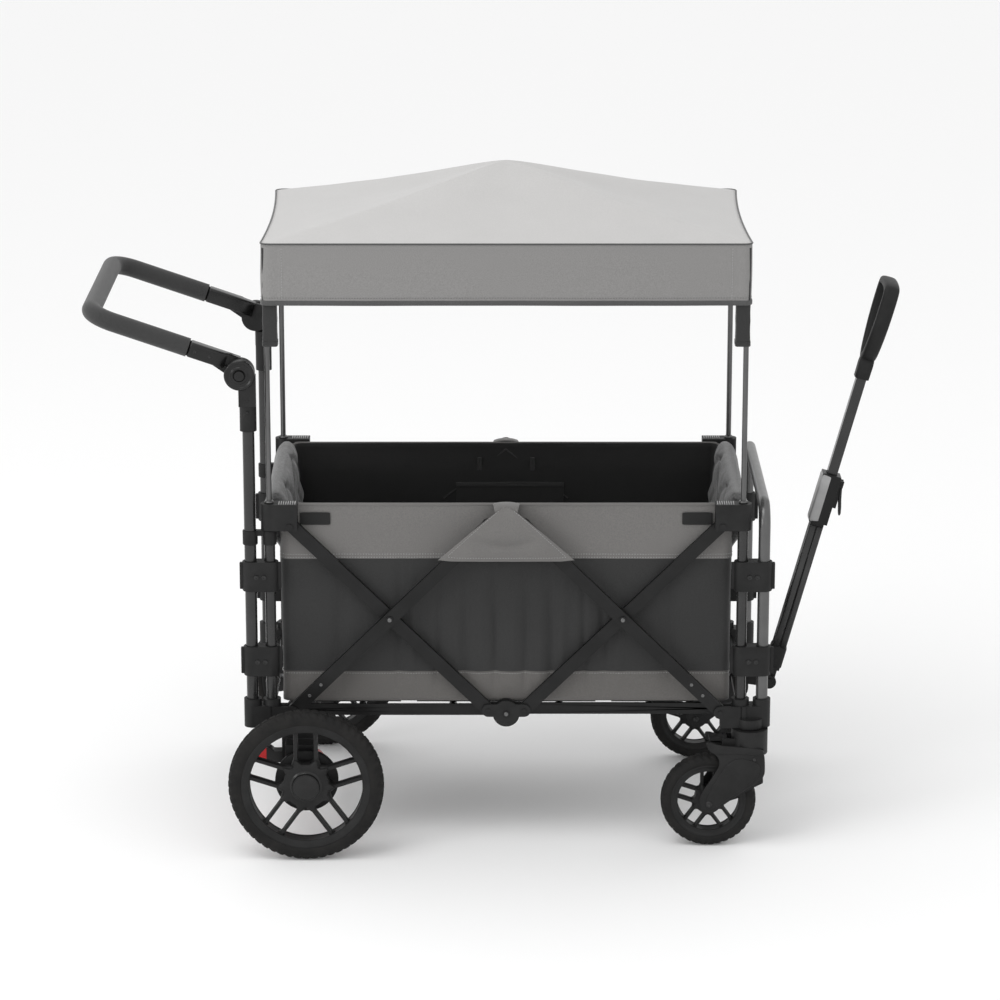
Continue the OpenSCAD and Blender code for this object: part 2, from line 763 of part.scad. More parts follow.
module caster_rim(near) {
    translate([caster_x, near ? -swivel_y : swivel_y, caster_r])
        rim(caster_rim_r, caster_rim_r - 10, caster_tyre_w - 6, 26, pin_d + 2 * pin_gap, 24, 5);
}

module caster_fork_near() { color(plastic) place() caster_fork(true); }
module caster_fork_far() { color(plastic) place() caster_fork(false); }
module caster_tyre_near() { color(tyre_black) place() caster_tyre(true); }
module caster_tyre_far() { color(tyre_black) place() caster_tyre(false); }
module caster_rim_near() { color(plastic) place() caster_rim(true); }
module caster_rim_far() { color(plastic) place() caster_rim(false); }

// Flip lever behind each swivel head
module swivel_lock(near) {
    side(near) translate([swivel_x, swivel_y, 0]) difference() {
        union() {
            bar_y(-lock_x, lock_z, -lock_w / 2, lock_w / 2, 9);
            box(-lock_x - 30, -lock_x, -lock_w / 2, lock_w / 2, lock_z - 1, lock_z + 4);
        }
        bar_y(-lock_x, lock_z, -lock_w, lock_w, lock_pin_d + 2 * pin_gap);
    }
}

module swivel_lock_near() { color(plastic) place() swivel_lock(true); }
module swivel_lock_far() { color(plastic) place() swivel_lock(false); }

// ---------- brake ----------

// Two red pedals on barrels round the axle, joined by a bar behind it
module brake_pedals() {
    y0 = pedal_y1 - pedal_w;
    color(red) place() {
        both_sides() difference() {
            union() {
                bar_y(rear_x, rear_r, y0, pedal_y1, 64);
                box(rear_x - 92, rear_x, y0, pedal_y1, rear_r + 8, rear_r + 30);
                link(rear_x - 92, rear_r + 22, rear_x - 78, rear_r + 22, 30, y0, pedal_y1);
            }
            bar_y(rear_x, rear_r, y0 - 1, pedal_y1 + 1, axle_d + 2 * pin_gap);
        }
        bar_y(rear_x - 84, rear_r + 22, -y0 - 1, y0 + 1, 12);
    }
}

module brake_pin(near) {
    side(near) bar_y(rear_x, rear_r + brake_hole_r, strut_y0 + 2, ring_y0 - 1.5, brake_pin_d);
}

module brake_pin_near() { color(steel) place() brake_pin(true); }
module brake_pin_far() { color(steel) place() brake_pin(false); }

// ---------- pull handle ----------

module pull_frame() {
    translate([pull_x, 0, pull_z]) rotate([0, pull_lean, 0]) children();
}

// Square outer tube, its hinge boss below and the lock collar above
module pull_outer_tube() {
    half = outer_w / 2;
    collar = half + 5;
    color(coat) place() pull_frame() difference() {
        union() {
            bar_y(0, 0, -half, half, 24);
            box(-9, 9, -half, half, 0, 30);
            box(-half, half, -half, half, 24, outer_top);
            box(-collar, collar, -collar, collar, outer_top - 96, outer_top + 2);
            // ears for the latch
            for (y = [-9, 5]) box(collar - 1, collar + 9, y, y + 4, outer_top - 20, outer_top - 6);
        }
        bar_y(collar + 5, outer_top - 13, -10, 10, latch_pin_d + 2 * pin_gap);
        box(-inner_w / 2 - slide_gap, inner_w / 2 + slide_gap, -inner_w / 2 - slide_gap,
            inner_w / 2 + slide_gap, 44, outer_top + 9);
        bar_y(0, 0, -half - 1, half + 1, pin_d + 2 * pin_gap);
    }
}

module pull_inner_tube() {
    half = inner_w / 2;
    color(steel) place() pull_frame() difference() {
        box(-half, half, -half, half, inner_bottom, neck_s + 20);
        box(-half + tube_wall, half - tube_wall, -half + tube_wall, half - tube_wall,
            inner_bottom - 1, neck_s + 21);
    }
}

// D-shaped grip: a neck, two cheeks that open out and a bar across the top
module pull_grip() {
    half = grip_w / 2;
    color(plastic) place() pull_frame() difference() {
        union() {
            box(-14, 14, -14, 14, neck_s, grip_s + 6);
            translate([-grip_t / 2, 0, 0]) rotate([90, 0, 90]) linear_extrude(grip_t)
                polygon([[-14, grip_s], [14, grip_s], [half, pull_length - 70],
                    [half, pull_length - grip_r], [-half, pull_length - grip_r],
                    [-half, pull_length - 70]]);
            for (x = [-1, 1]) bar_y(x * (grip_t / 2 - grip_r), pull_length - grip_r, -half, half,
                2 * grip_r);
        }
        translate([-grip_t, 0, 0]) rotate([90, 0, 90]) linear_extrude(2 * grip_t)
            polygon([[-10, grip_s + 34], [10, grip_s + 34], [half - 18, pull_length - 66],
                [half - 18, pull_length - 26], [-half + 18, pull_length - 26],
                [-half + 18, pull_length - 66]]);
        box(-inner_w / 2 - fit_gap, inner_w / 2 + fit_gap, -inner_w / 2 - fit_gap,
            inner_w / 2 + fit_gap, neck_s - 1, neck_s + 20 + fit_gap);
    }
}

// Lever on the front of the collar that frees the inner tube
module pull_latch() {
    collar = outer_w / 2 + 5;
    color(plastic) place() pull_frame() {
        bar_y(collar + 5, outer_top - 13, -4.6, 4.6, 8);
        bar_y(collar + 5, outer_top - 13, -9, 9, latch_pin_d);
        box(collar + 2, collar + 8, -4.6, 4.6, outer_top - 62, outer_top - 13);
    }
}

// ---------- canopy ----------

// Two poles of one end with the sleeves at their tops and the bar that joins them
module poles(front) {
    top = eave_z - 6;
    end(front) {
        both_sides() {
            tube_z(-post_x, post_y, pole_z0, top, pole_d, tube_wall);
            difference() {
                box(-sleeve_x, -post_x + 15, post_y - 10, canopy_y - canopy_t - slide_gap,
                    valance_z - sleeve_drop, top);
                translate([-post_x, post_y, 0]) cylinder(h = 1999, d = pole_d);
            }
        }
        bar_y(-post_x + 4, top - 14, -(post_y - 10), post_y - 10, 12);
    }
}

module rear_poles() { color(steel) place() poles(false); }
module front_poles() { color(steel) place() poles(true); }

// Tent shell: a valance all round and four slopes up to a flat crown
module tent(inset, z_eave, z_crown) {
    x = canopy_x - inset;
    y = canopy_y - inset;
    c = 34;
    polyhedron(
        points = [[-x, -y, z_eave], [x, -y, z_eave], [x, y, z_eave], [-x, y, z_eave],
            [-c, -c, z_crown], [c, -c, z_crown], [c, c, z_crown], [-c, c, z_crown],
            [-x, -y, valance_z - inset], [x, -y, valance_z - inset], [x, y, valance_z - inset],
            [-x, y, valance_z - inset]],
        faces = [[8, 9, 10, 11], [4, 7, 6, 5], [0, 1, 9, 8], [1, 2, 10, 9], [2, 3, 11, 10],
            [3, 0, 8, 11], [0, 4, 5, 1], [1, 5, 6, 2], [2, 6, 7, 3], [3, 7, 4, 0]]);
}

module canopy_roof() {
    color(grey_cloth) place() difference() {
        tent(0, eave_z, eave_z + crown_rise);
        tent(canopy_t, eave_z - canopy_t, eave_z + crown_rise - canopy_t);
    }
}

// Four springy ribs from the corner sleeves up to the crown disc
module canopy_ribs() {
    rib_d = 6;
    z0 = eave_z - 8;
    z1 = eave_z + crown_rise - 12;
    reach_x = post_x - 16.3 - slide_gap;
    reach_y = post_y - 4;
    length = sqrt(pow(reach_x, 2) + pow(reach_y, 2) + pow(z1 - z0, 2));
    color("#d9d9d6") place() {
        translate([0, 0, z1 - 4]) cylinder(h = 8, r = 30);
        for (sx = [-1, 1], sy = [-1, 1])
            translate([sx * reach_x, sy * reach_y, z0])
                rotate([0, 0, atan2(-sy * reach_y, -sx * reach_x)])
                    rotate([0, acos((z1 - z0) / length), 0])
                        cylinder(h = length - 12, d = rib_d, $fn = 24);
    }
}

rear_posts();
push_handle_legs();
rear_clamps();
rear_screws();
rear_corner_blocks();
axle_struts();
rear_axle();
rear_cross_tube();
handle_sleeves();
basket_liner();
floor_mat();
rear_end_pad();
front_end_pad();
side_flaps();
handle_arms();
push_tube();
push_grip();
hub_button_near();
hub_button_far();
rear_caps();
rear_top_tubes();
rear_low_arms();
rear_high_arms();
front_low_arms();
front_high_arms();
top_hubs();
bottom_hubs();
front_caps();
front_top_tubes();
front_posts();
front_loop();
front_clamps();
front_screws();
front_corner_blocks();
front_cross_tube();
rear_floor_rails();
front_floor_rails();
caster_fork_near();
caster_fork_far();
caster_tyre_near();
caster_tyre_far();
caster_rim_near();
caster_rim_far();
swivel_lock_near();
swivel_lock_far();
rear_tyre_near();
rear_tyre_far();
rear_rim_near();
rear_rim_far();
brake_pedals();
brake_pin_near();
brake_pin_far();
pull_outer_tube();
pull_inner_tube();
pull_grip();
pull_latch();
rear_poles();
front_poles();
canopy_roof();
canopy_ribs();
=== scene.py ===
# %% [markdown]
# # A folding pull wagon
# The frame, the wheels and the handles already exist as exact solids. This script gives them their
# finish, and builds what a machine shop can't: the sewn basket, the canopy, the pads, the foam grip
# and the moulded tyres. Each new piece is a surface worked out with numpy, in metres, where the
# solids say it belongs, and it rides on the body that carries it.

# %% Load the frame
import math

import bmesh
import bpy
import numpy as np
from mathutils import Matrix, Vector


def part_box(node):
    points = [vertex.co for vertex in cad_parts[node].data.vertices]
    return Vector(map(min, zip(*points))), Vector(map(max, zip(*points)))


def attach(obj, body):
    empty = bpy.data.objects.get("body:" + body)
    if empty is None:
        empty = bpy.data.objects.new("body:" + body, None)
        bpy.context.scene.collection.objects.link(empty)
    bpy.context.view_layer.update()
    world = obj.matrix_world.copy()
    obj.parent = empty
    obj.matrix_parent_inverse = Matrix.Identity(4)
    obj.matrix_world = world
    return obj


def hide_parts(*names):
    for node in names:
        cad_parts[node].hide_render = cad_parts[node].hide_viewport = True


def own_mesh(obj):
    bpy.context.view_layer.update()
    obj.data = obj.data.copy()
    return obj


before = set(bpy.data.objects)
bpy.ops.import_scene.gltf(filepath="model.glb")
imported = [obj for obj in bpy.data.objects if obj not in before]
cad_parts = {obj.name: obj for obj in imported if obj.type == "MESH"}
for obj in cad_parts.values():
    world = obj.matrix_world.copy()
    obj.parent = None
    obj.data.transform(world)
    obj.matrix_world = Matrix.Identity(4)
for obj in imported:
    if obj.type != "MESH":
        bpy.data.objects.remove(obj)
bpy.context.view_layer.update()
MM = 0.001
TAU = 2 * math.pi
print("frame loaded:", len(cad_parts), "nodes")


def box(node):
    """The low and high corners of a CAD node, as arrays in metres."""
    low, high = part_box(node)
    return np.array(low), np.array(high)


# %% [markdown]
# ## Camera
# The wagon is seen square from its near side, from a little above, through a long lens. Everything
# is measured from the middle of the floor mat, which is the middle of the wheelbase.

# %% Camera
mat_low, mat_high = box("floor_mat")
MID_X = float(mat_low[0] + mat_high[0]) / 2
camera_data = bpy.data.cameras.new("camera")
camera_data.lens = 140.06
camera_data.sensor_width = 36.0
camera = bpy.data.objects.new("camera", camera_data)
camera.location = (MID_X - 0.0116, -7.1775, 2.5463)
camera.rotation_euler = (math.radians(74.85), 0.0, 0.0)
bpy.context.scene.collection.objects.link(camera)
bpy.context.scene.camera = camera
print("camera at", tuple(round(c, 3) for c in camera.location))

# %% [markdown]
# ## Surfaces
# Every sewn or moulded piece is one or more grids of points. A grid can close on itself along
# either direction, as a tube does. The grids are stitched where they meet, and the faces are then
# turned outwards, so a helper never has to care which way round a grid was made.

# %% From grids to a mesh
def grid_faces(rows, columns, close_rows, close_columns):
    """Four corner numbers for each cell of a grid: a cell joins point (i, j) to its next row and column."""
    i, j = np.meshgrid(np.arange(rows if close_rows else rows - 1),
                       np.arange(columns if close_columns else columns - 1), indexing="ij")
    k, m = (i + 1) % rows, (j + 1) % columns
    return np.stack([i * columns + j, k * columns + j, k * columns + m, i * columns + m], -1).reshape(-1, 4)


def piece(name, grids, material, body, smooth=True, outwards=True, merge=1e-5):
    """One object from a list of (points, close_rows, close_columns), riding on a body."""
    points, faces, start = [], [], 0
    for grid, close_rows, close_columns in grids:
        rows, columns = grid.shape[:2]
        points.append(grid.reshape(-1, 3))
        faces.append(grid_faces(rows, columns, close_rows, close_columns) + start)
        start += rows * columns
    mesh = bpy.data.meshes.new(name)
    mesh.from_pydata(np.concatenate(points).tolist(), [], np.concatenate(faces).tolist())
    work = bmesh.new()
    work.from_mesh(mesh)
    bmesh.ops.remove_doubles(work, verts=work.verts, dist=merge)
    bmesh.ops.dissolve_degenerate(work, edges=work.edges, dist=merge / 10)
    if outwards:
        bmesh.ops.recalc_face_normals(work, faces=work.faces)
    work.to_mesh(mesh)
    work.free()
    mesh.polygons.foreach_set("use_smooth", np.full(len(mesh.polygons), smooth))
    mesh.materials.append(material)
    thing = bpy.data.objects.new(name, mesh)
    bpy.context.scene.collection.objects.link(thing)
    if body is None:
        return thing
    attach(thing, body)
    print(name, len(mesh.polygons), "faces on", body)
    return thing


def modifier(thing, kind, **values):
    """Adds a modifier and sets its values by name."""
    made = thing.modifiers.new(kind.lower(), kind)
    for key, value in values.items():
        setattr(made, key, value)
    return made


# %% Rings, lathes and tubes
def sign_power(value, power):
    """|value| to a power, with the sign of value: the two halves of a superellipse."""
    return np.sign(value) * np.abs(value) ** power


def chaikin(corners, rounds):
    """A closed outline with its corners cut: each round puts two points on every edge, a quarter and
    three quarters along it."""
    line = np.asarray(corners, float)
    for _ in range(rounds):
        after = np.roll(line, -1, 0)
        line = np.stack([0.75 * line + 0.25 * after, 0.25 * line + 0.75 * after], 1).reshape(-1, 2)
    return line


def rounded_rectangle(half_x, half_y, radius, count):
    """Evenly spaced points round a rectangle whose corners are quarter circles, and their normals."""
    turn = np.linspace(0, math.pi / 2, 17)
    corners = [(1, 1, 0), (-1, 1, 1), (-1, -1, 2), (1, -1, 3)]
    line = np.concatenate([np.stack([sx * (half_x - radius) + radius * np.cos(turn + q * math.pi / 2),
                                     sy * (half_y - radius) + radius * np.sin(turn + q * math.pi / 2)], -1)
                           for sx, sy, q in corners])
    line = np.concatenate([line, line[:1]])
    run = np.concatenate([[0], np.cumsum(np.linalg.norm(np.diff(line, axis=0), axis=1))])
    at = np.linspace(0, run[-1], count, endpoint=False)
    ring = np.stack([np.interp(at, run, line[:, 0]), np.interp(at, run, line[:, 1])], -1)
    along = np.roll(ring, -1, 0) - np.roll(ring, 1, 0)
    normal = np.stack([along[:, 1], -along[:, 0]], -1)
    return ring, normal / np.linalg.norm(normal, axis=1, keepdims=True)


def tube(path, across, up, sides=16, closed=False, squareness=2.0):
    """A superellipse ring, with half sizes across = (sideways, upwards), carried along a path.
    Each ring stands square to the path, with its sideways direction square to the vector up."""
    path = np.asarray(path, float)
    if closed:
        along = np.roll(path, -1, 0) - np.roll(path, 1, 0)
    else:
        along = np.gradient(path, axis=0)
    along /= np.linalg.norm(along, axis=1, keepdims=True)
    side = np.cross(along, np.broadcast_to(np.asarray(up, float), path.shape))
    side /= np.linalg.norm(side, axis=1, keepdims=True)
    rise = np.cross(side, along)
    turn = np.linspace(0, TAU, sides, endpoint=False)
    c, s = np.cos(turn), np.sin(turn)
    ex, ey = sign_power(c, 2 / squareness), sign_power(s, 2 / squareness)
    across = np.broadcast_to(np.asarray(across, float), (len(path), 2))
    ring = (side[:, None] * (ex[None, :, None] * across[:, 0, None, None])
            + rise[:, None] * (ey[None, :, None] * across[:, 1, None, None])) + path[:, None]
    if not closed:
        first, last = (np.repeat(end[:, None], sides, 1) for end in (path[:1], path[-1:]))
        ring = np.concatenate([first, ring, last])
    return ring, closed, True


def lathe(profile, centre, steps=96, axis="y"):
    """A profile of (radius, distance along the axis) turned about an axis through centre."""
    profile = np.asarray(profile, float)
    turn = np.linspace(0, TAU, steps, endpoint=False)[:, None]
    around = (profile[:, 0] * np.cos(turn), profile[:, 0] * np.sin(turn))
    along = np.broadcast_to(profile[:, 1], around[0].shape)
    order = {"y": (around[0], along, around[1]), "z": (around[0], around[1], along)}[axis]
    return np.stack(order, -1) + np.asarray(centre), True, False


def smooth_step(value, start, end):
    """0 before start, 1 after end, and an S curve between them."""
    t = np.clip((value - start) / (end - start), 0, 1)
    return t * t * (3 - 2 * t)


def ripple(x, y, seed, scale):
    """Soft irregular waves: the sum of nine sine waves whose directions and phases come from the seed."""
    rng = np.random.default_rng(seed)
    angles, phases = rng.uniform(0, TAU, 9), rng.uniform(0, TAU, 9)
    lengths = scale * rng.uniform(0.5, 1.6, 9)
    waves = [np.sin((x * math.cos(a) + y * math.sin(a)) * TAU / s + p)
             for a, p, s in zip(angles, phases, lengths)]
    return sum(waves) / 4.2


print("helpers ready")

# %% [markdown]
# ## Finishes
# Each finish is a small node tree on one Principled shader. Patterns read Object coordinates, in
# metres, so a thread or a grain has its real size on every piece. What is the same all over a
# surface is set on the shader itself; only what varies comes from nodes.

# %% A small language for node trees
class Finish:
    """A material with one Principled shader, and short calls that add nodes in front of it."""

    def __init__(self, name, **sockets):
        self.material = bpy.data.materials.new(name)
        self.material.use_nodes = True
        self.tree = self.material.node_tree
        self.shader = self.tree.nodes["Principled BSDF"]
        for key, value in sockets.items():
            self.shader.inputs[key.replace("_", " ")].default_value = value
        self.place = self.add("ShaderNodeTexCoord").outputs["Object"]

    def add(self, kind, **values):
        node = self.tree.nodes.new(kind)
        for key, value in values.items():
            if key in node.inputs:
                if hasattr(value, "is_output"):
                    self.tree.links.new(value, node.inputs[key])
                else:
                    node.inputs[key].default_value = value
            else:
                setattr(node, key, value)
        return node

    def noise(self, size, detail=3.0, rough=0.55, place=None):
        """Cloudy noise whose blobs are about size metres across."""
        node = self.add("ShaderNodeTexNoise", Scale=1 / size, Detail=detail, Roughness=rough)
        self.tree.links.new(place or self.place, node.inputs["Vector"])
        return node.outputs["Fac"]

    def cells(self, size):
        """Distance to the nearest of many scattered points, about size metres apart."""
        node = self.add("ShaderNodeTexVoronoi", Scale=1 / size)
        self.tree.links.new(self.place, node.inputs["Vector"])
        return node.outputs["Distance"]

    def stretched(self, scale):
        """Object coordinates, stretched by a factor along each axis."""
        node = self.add("ShaderNodeMapping")
        node.inputs["Scale"].default_value = scale
        self.tree.links.new(self.place, node.inputs["Vector"])
        return node.outputs["Vector"]

    def bands(self, size, direction):
        """Even sine bands square to one axis, size metres from one crest to the next."""
        node = self.add("ShaderNodeTexWave", bands_direction=direction)
        node.inputs["Scale"].default_value = TAU / (20 * size)
        self.tree.links.new(self.place, node.inputs["Vector"])
        return node.outputs["Fac"]

    def math(self, operation, a, b=0.0):
        node = self.add("ShaderNodeMath", operation=operation)
        for socket, value in zip(node.inputs, (a, b)):
            if hasattr(value, "is_output"):
                self.tree.links.new(value, socket)
            else:
                socket.default_value = value
        return node.outputs[0]

    def ramp(self, value, stops):
        """Colours or greys along a value from 0 to 1; stops are (place, colour)."""
        node = self.add("ShaderNodeValToRGB")
        self.tree.links.new(value, node.inputs["Fac"])
        while len(node.color_ramp.elements) < len(stops):
            node.color_ramp.elements.new(0.5)
        for element, (at, colour) in zip(node.color_ramp.elements, stops):
            element.position = at
            element.color = (*colour, 1.0) if len(colour) == 3 else colour
        return node.outputs["Color"]

    def mix(self, amount, a, b):
        """Colour a where amount is 0 and colour b where it is 1."""
        node = self.add("ShaderNodeMix", data_type="RGBA")
        for socket, value in zip((node.inputs[0], node.inputs[6], node.inputs[7]), (amount, a, b)):
            if hasattr(value, "is_output"):
                self.tree.links.new(value, socket)
            else:
                socket.default_value = value if isinstance(value, float) else (*value, 1.0)
        return node.outputs[2]

    def above(self, axis, height, soft=0.0008):
        """0 below a height on one axis, and 1 above it."""
        split = self.add("ShaderNodeSeparateXYZ")
        self.tree.links.new(self.place, split.inputs[0])
        node = self.add("ShaderNodeMapRange")
        self.tree.links.new(split.outputs[axis], node.inputs["Value"])
        node.inputs["From Min"].default_value = height - soft
        node.inputs["From Max"].default_value = height + soft
        return node.outputs["Result"]

    def colour(self, value):
        self.tree.links.new(value, self.shader.inputs["Base Color"])

    def roughness(self, value, low, high):
        node = self.add("ShaderNodeMapRange")
        self.tree.links.new(value, node.inputs["Value"])
        node.inputs["To Min"].default_value = low
        node.inputs["To Max"].default_value = high
        self.tree.links.new(node.outputs["Result"], self.shader.inputs["Roughness"])

    def bump(self, value, depth, strength=1.0):
        """Adds one layer of relief, depth metres high, on top of the layers before it."""
        node = self.add("ShaderNodeBump", Strength=strength, Distance=depth)
        self.tree.links.new(value, node.inputs["Height"])
        before = self.shader.inputs["Normal"].links
        if before:
            self.tree.links.new(before[0].from_socket, node.inputs["Normal"])
        self.tree.links.new(node.outputs["Normal"], self.shader.inputs["Normal"])


def grey(value, warm=0.0):
    """A linear grey from an sRGB value of 0 to 255, a little warm or cool."""
    base = [(value + warm) / 255, value / 255, (value - warm) / 255]
    return tuple(c / 12.92 if c < 0.04 else ((c + 0.055) / 1.055) ** 2.4 for c in base)


# %% Cloth
def woven(name, dark, light, thread=1.1 * MM, flecks=1.8 * MM, contrast=0.5, sheen=0.25, rough=0.86,
          even=0.88):
    """A plain weave: sine threads along all three axes for relief, flecks of two greys for colour."""
    cloth = Finish(name, Roughness=rough, Sheen_Weight=sheen, Sheen_Roughness=0.5)
    flecks_value = cloth.noise(flecks, 4.0, 0.65)
    tone = cloth.ramp(flecks_value, [(0.5 - contrast / 2, dark), (0.5 + contrast / 2, light)])
    broad = cloth.ramp(cloth.noise(0.09, 2.0), [(0.3, (even,) * 3), (0.7, (1.0,) * 3)])
    shade = cloth.add("ShaderNodeMix", data_type="RGBA", blend_type="MULTIPLY")
    shade.inputs[0].default_value = 1.0
    cloth.tree.links.new(tone, shade.inputs[6])
    cloth.tree.links.new(broad, shade.inputs[7])
    cloth.colour(shade.outputs[2])
    threads = cloth.math("MULTIPLY", cloth.bands(thread, "X"), cloth.bands(thread, "Z"))
    threads = cloth.math("ADD", threads, cloth.math("MULTIPLY", cloth.bands(thread, "Y"), 0.5))
    cloth.bump(threads, 0.12 * MM, 0.7)
    cloth.bump(cloth.noise(0.03, 2.0), 0.8 * MM, 0.35)
    cloth.tone = shade.outputs[2]
    return cloth


CLOTH_BLACK = woven("lining_cloth", grey(3), grey(12), contrast=0.6).material
CLOTH_BINDING = woven("binding_tape", grey(58), grey(82), thread=0.9 * MM).material
CLOTH_POCKET = woven("sleeve_cloth", grey(26), grey(42)).material
CLOTH_GREY = woven("flap_cloth", grey(89, 1), grey(113, 2), contrast=0.7).material
CLOTH_HEATHER = woven("heather_cloth", grey(10), grey(70), flecks=4.2 * MM, contrast=0.22,
                      sheen=0.4).material
THREAD = Finish("sewing_thread", Base_Color=(*grey(158), 1), Roughness=0.7).material
print("cloth finishes ready")

# %% Cloth with sewn bands
rim_low, rim_high = box("basket_liner")
BAND_LOW = float(rim_low[2]) + 0.059
BAND_HIGH = float(rim_high[2]) - 0.106


def banded_cloth():
    """The basket's outer cloth: grey below and above two seams, charcoal between them."""
    cloth = woven("basket_cloth", grey(27), grey(46), contrast=0.7, sheen=0.2)
    flecks = cloth.noise(1.8 * MM, 4.0, 0.65)
    low = cloth.ramp(flecks, [(0.2, grey(75, 2)), (0.8, grey(97, 2))])
    high = cloth.ramp(flecks, [(0.2, grey(89, 1)), (0.8, grey(113, 2))])
    tone = cloth.mix(cloth.above("Z", BAND_LOW), low, cloth.tone)
    cloth.colour(cloth.mix(cloth.above("Z", BAND_HIGH), tone, high))
    return cloth.material


def roof_cloth(eave):
    """The canopy's cloth: pale on top and mid grey on the valance below the eave; the roof's paler tone is
    painted light from above.
    """
    cloth = woven("canopy_cloth", grey(166, 1), grey(188, 1), contrast=0.8, sheen=0.15, rough=0.75,
                  even=0.97)
    flecks = cloth.noise(1.8 * MM, 4.0, 0.65)
    below = cloth.ramp(flecks, [(0.2, grey(108, 1)), (0.8, grey(135, 1))])
    # Painted light: the roof above the eave is painted paler than the valance, as the light from above
    # falls on it.
    cloth.colour(cloth.mix(cloth.above("Z", eave - 2 * MM), below, cloth.tone))
    return cloth.material


# %% Metal, plastic and rubber
def coated(name, tone, metal=0.0, rough=(0.32, 0.48), shine=0.25):
    """Powder coat: a fine orange peel, with faint cloudy wear in its gloss."""
    coat = Finish(name, Metallic=metal, Specular_IOR_Level=shine)
    cloud = coat.noise(0.05, 3.0)
    coat.colour(coat.ramp(cloud, [(0.3, grey(tone)), (0.7, grey(tone + 9))]))
    coat.roughness(coat.noise(0.02, 4.0), *rough)
    coat.bump(coat.noise(1.6 * MM, 2.0), 0.06 * MM, 0.6)
    return coat.material


def moulded(name, colour, lighter, rough=(0.45, 0.62), grain=0.7 * MM, shine=0.25,
            relief=0.05 * MM):
    """Injection-moulded plastic with a spark-eroded grain."""
    plastic = Finish(name, Specular_IOR_Level=shine)
    plastic.colour(plastic.ramp(plastic.noise(0.04, 3.0), [(0.3, colour), (0.75, lighter)]))
    plastic.roughness(plastic.noise(6 * MM, 4.0), *rough)
    plastic.bump(plastic.cells(grain), relief, 0.8)
    return plastic.material


def steel(name, tone, rough=(0.22, 0.4)):
    """Plated steel with fine drawn lines along Z and faint stains."""
    metal = Finish(name, Metallic=1.0)
    lines = metal.noise(3 * MM, 4.0, 0.6, metal.stretched((1.0, 1.0, 0.04)))
    metal.colour(metal.ramp(lines, [(0.25, grey(tone - 12)), (0.75, grey(tone + 12))]))
    metal.roughness(lines, *rough)
    metal.bump(lines, 0.03 * MM, 0.4)
    return metal.material


def rubber(name):
    """Tyre rubber: dull, slightly dusty, with a fine pebble."""
    tyre = Finish(name, Specular_IOR_Level=0.2)
    dust = tyre.noise(0.03, 5.0, 0.65)
    tyre.colour(tyre.ramp(dust, [(0.3, grey(20)), (0.75, grey(35, 1))]))
    tyre.roughness(dust, 0.68, 0.86)
    tyre.bump(tyre.cells(1.5 * MM), 0.1 * MM, 0.5)
    return tyre.material


def foam():
    """Closed-cell foam: a skin of tiny pits, with painted shade darkening their bottoms."""
    grip = Finish("foam_grip", Roughness=0.9, Sheen_Weight=0.2)
    pits = grip.cells(1.3 * MM)
    # Painted shade: the colour follows the pits' depth, darkest in each pit's bottom.
    grip.colour(grip.ramp(pits, [(0.15, grey(24)), (0.55, grey(50))]))
    grip.bump(pits, 0.25 * MM, 0.9)
    return grip.material


def pedal_plastic():
    """Moulded plastic: a red tread and a red boss on the near side, black everywhere else."""
    pedal = Finish("pedal_plastic", Specular_IOR_Level=0.4)
    cloud = pedal.noise(0.04, 3.0)
    red = pedal.ramp(cloud, [(0.3, (0.50, 0.012, 0.016)), (0.75, (0.62, 0.02, 0.022))])
    middle = pedal.math("SUBTRACT", pedal.above("X", -0.43), pedal.above("X", -0.372))
    hidden = pedal.math("MAXIMUM", pedal.above("Y", 0.0), middle)
    pedal.colour(pedal.mix(hidden, red, grey(20)))
    pedal.roughness(cloud, 0.25, 0.38)
    return pedal.material


PEDALS = pedal_plastic()
COATED = coated("coated_steel", 15)
TUBES = coated("tube_steel", 30, metal=0.2, rough=(0.2, 0.32), shine=0.6)
POLE = coated("pole_steel", 92, metal=0.8, rough=(0.24, 0.36))
LOOP = coated("loop_steel", 92, metal=0.8, rough=(0.25, 0.38))
PLASTIC = moulded("black_plastic", grey(20), grey(32))
PLASTIC_GLOSS = moulded("button_plastic", grey(14), grey(22), rough=(0.22, 0.3), shine=0.35,
                        relief=0.01 * MM)
ROD = moulded("fibreglass_rod", grey(205), grey(225), rough=(0.3, 0.4))
BARE = steel("bare_steel", 150)
SCREW = steel("blackened_steel", 58)
RIVET = steel("rivet_steel", 104)
COLLAR = moulded("collar_insert", grey(140), grey(158), rough=(0.3, 0.4), shine=0.5)
MESH = woven("pocket_mesh", grey(6), grey(22), thread=2.4 * MM, contrast=0.9).material
RUBBER = rubber("tyre_rubber")
FOAM = foam()
print("hard finishes ready")

# %% [markdown]
# ## Canopy
# The real canopy is one sheet: a low roof over four springy rods, then a valance that hangs from
# its eave. Its grid runs round the eave and, the other way, from the crown to the valance's hem.
# Rings that shrink towards the crown would give four flat faces, so the roof also sags a little
# between the rods, and a soft dome rounds off the crown.

# %% Canopy roof and valance
roof_low, roof_high = box("canopy_roof")
ROOF_X, ROOF_Y = (roof_high[:2] - roof_low[:2]) / 2
HEM_Z, CROWN_Z = float(roof_low[2]), float(roof_high[2])
EAVE_Z = HEM_Z + 0.113
ROOF_RINGS, HEM_RINGS, ROUND = 60, 26, 640


def eave_ring(inset=0.0, corner=16 * MM, count=ROUND):
    """The eave's outline: a rounded rectangle whose two ends bow inwards by 9 mm, like a cosine arch."""
    ring, normal = rounded_rectangle(ROOF_X - inset, ROOF_Y - inset, corner, count)
    ends = smooth_step(np.abs(ring[:, 0]), 0.75 * ROOF_X, ROOF_X)
    bow = 9 * MM * ends * np.cos(np.clip(ring[:, 1] / ROOF_Y, -1, 1) * math.pi / 2) ** 0.8
    ring[:, 0] -= np.sign(ring[:, 0]) * bow
    return ring, normal


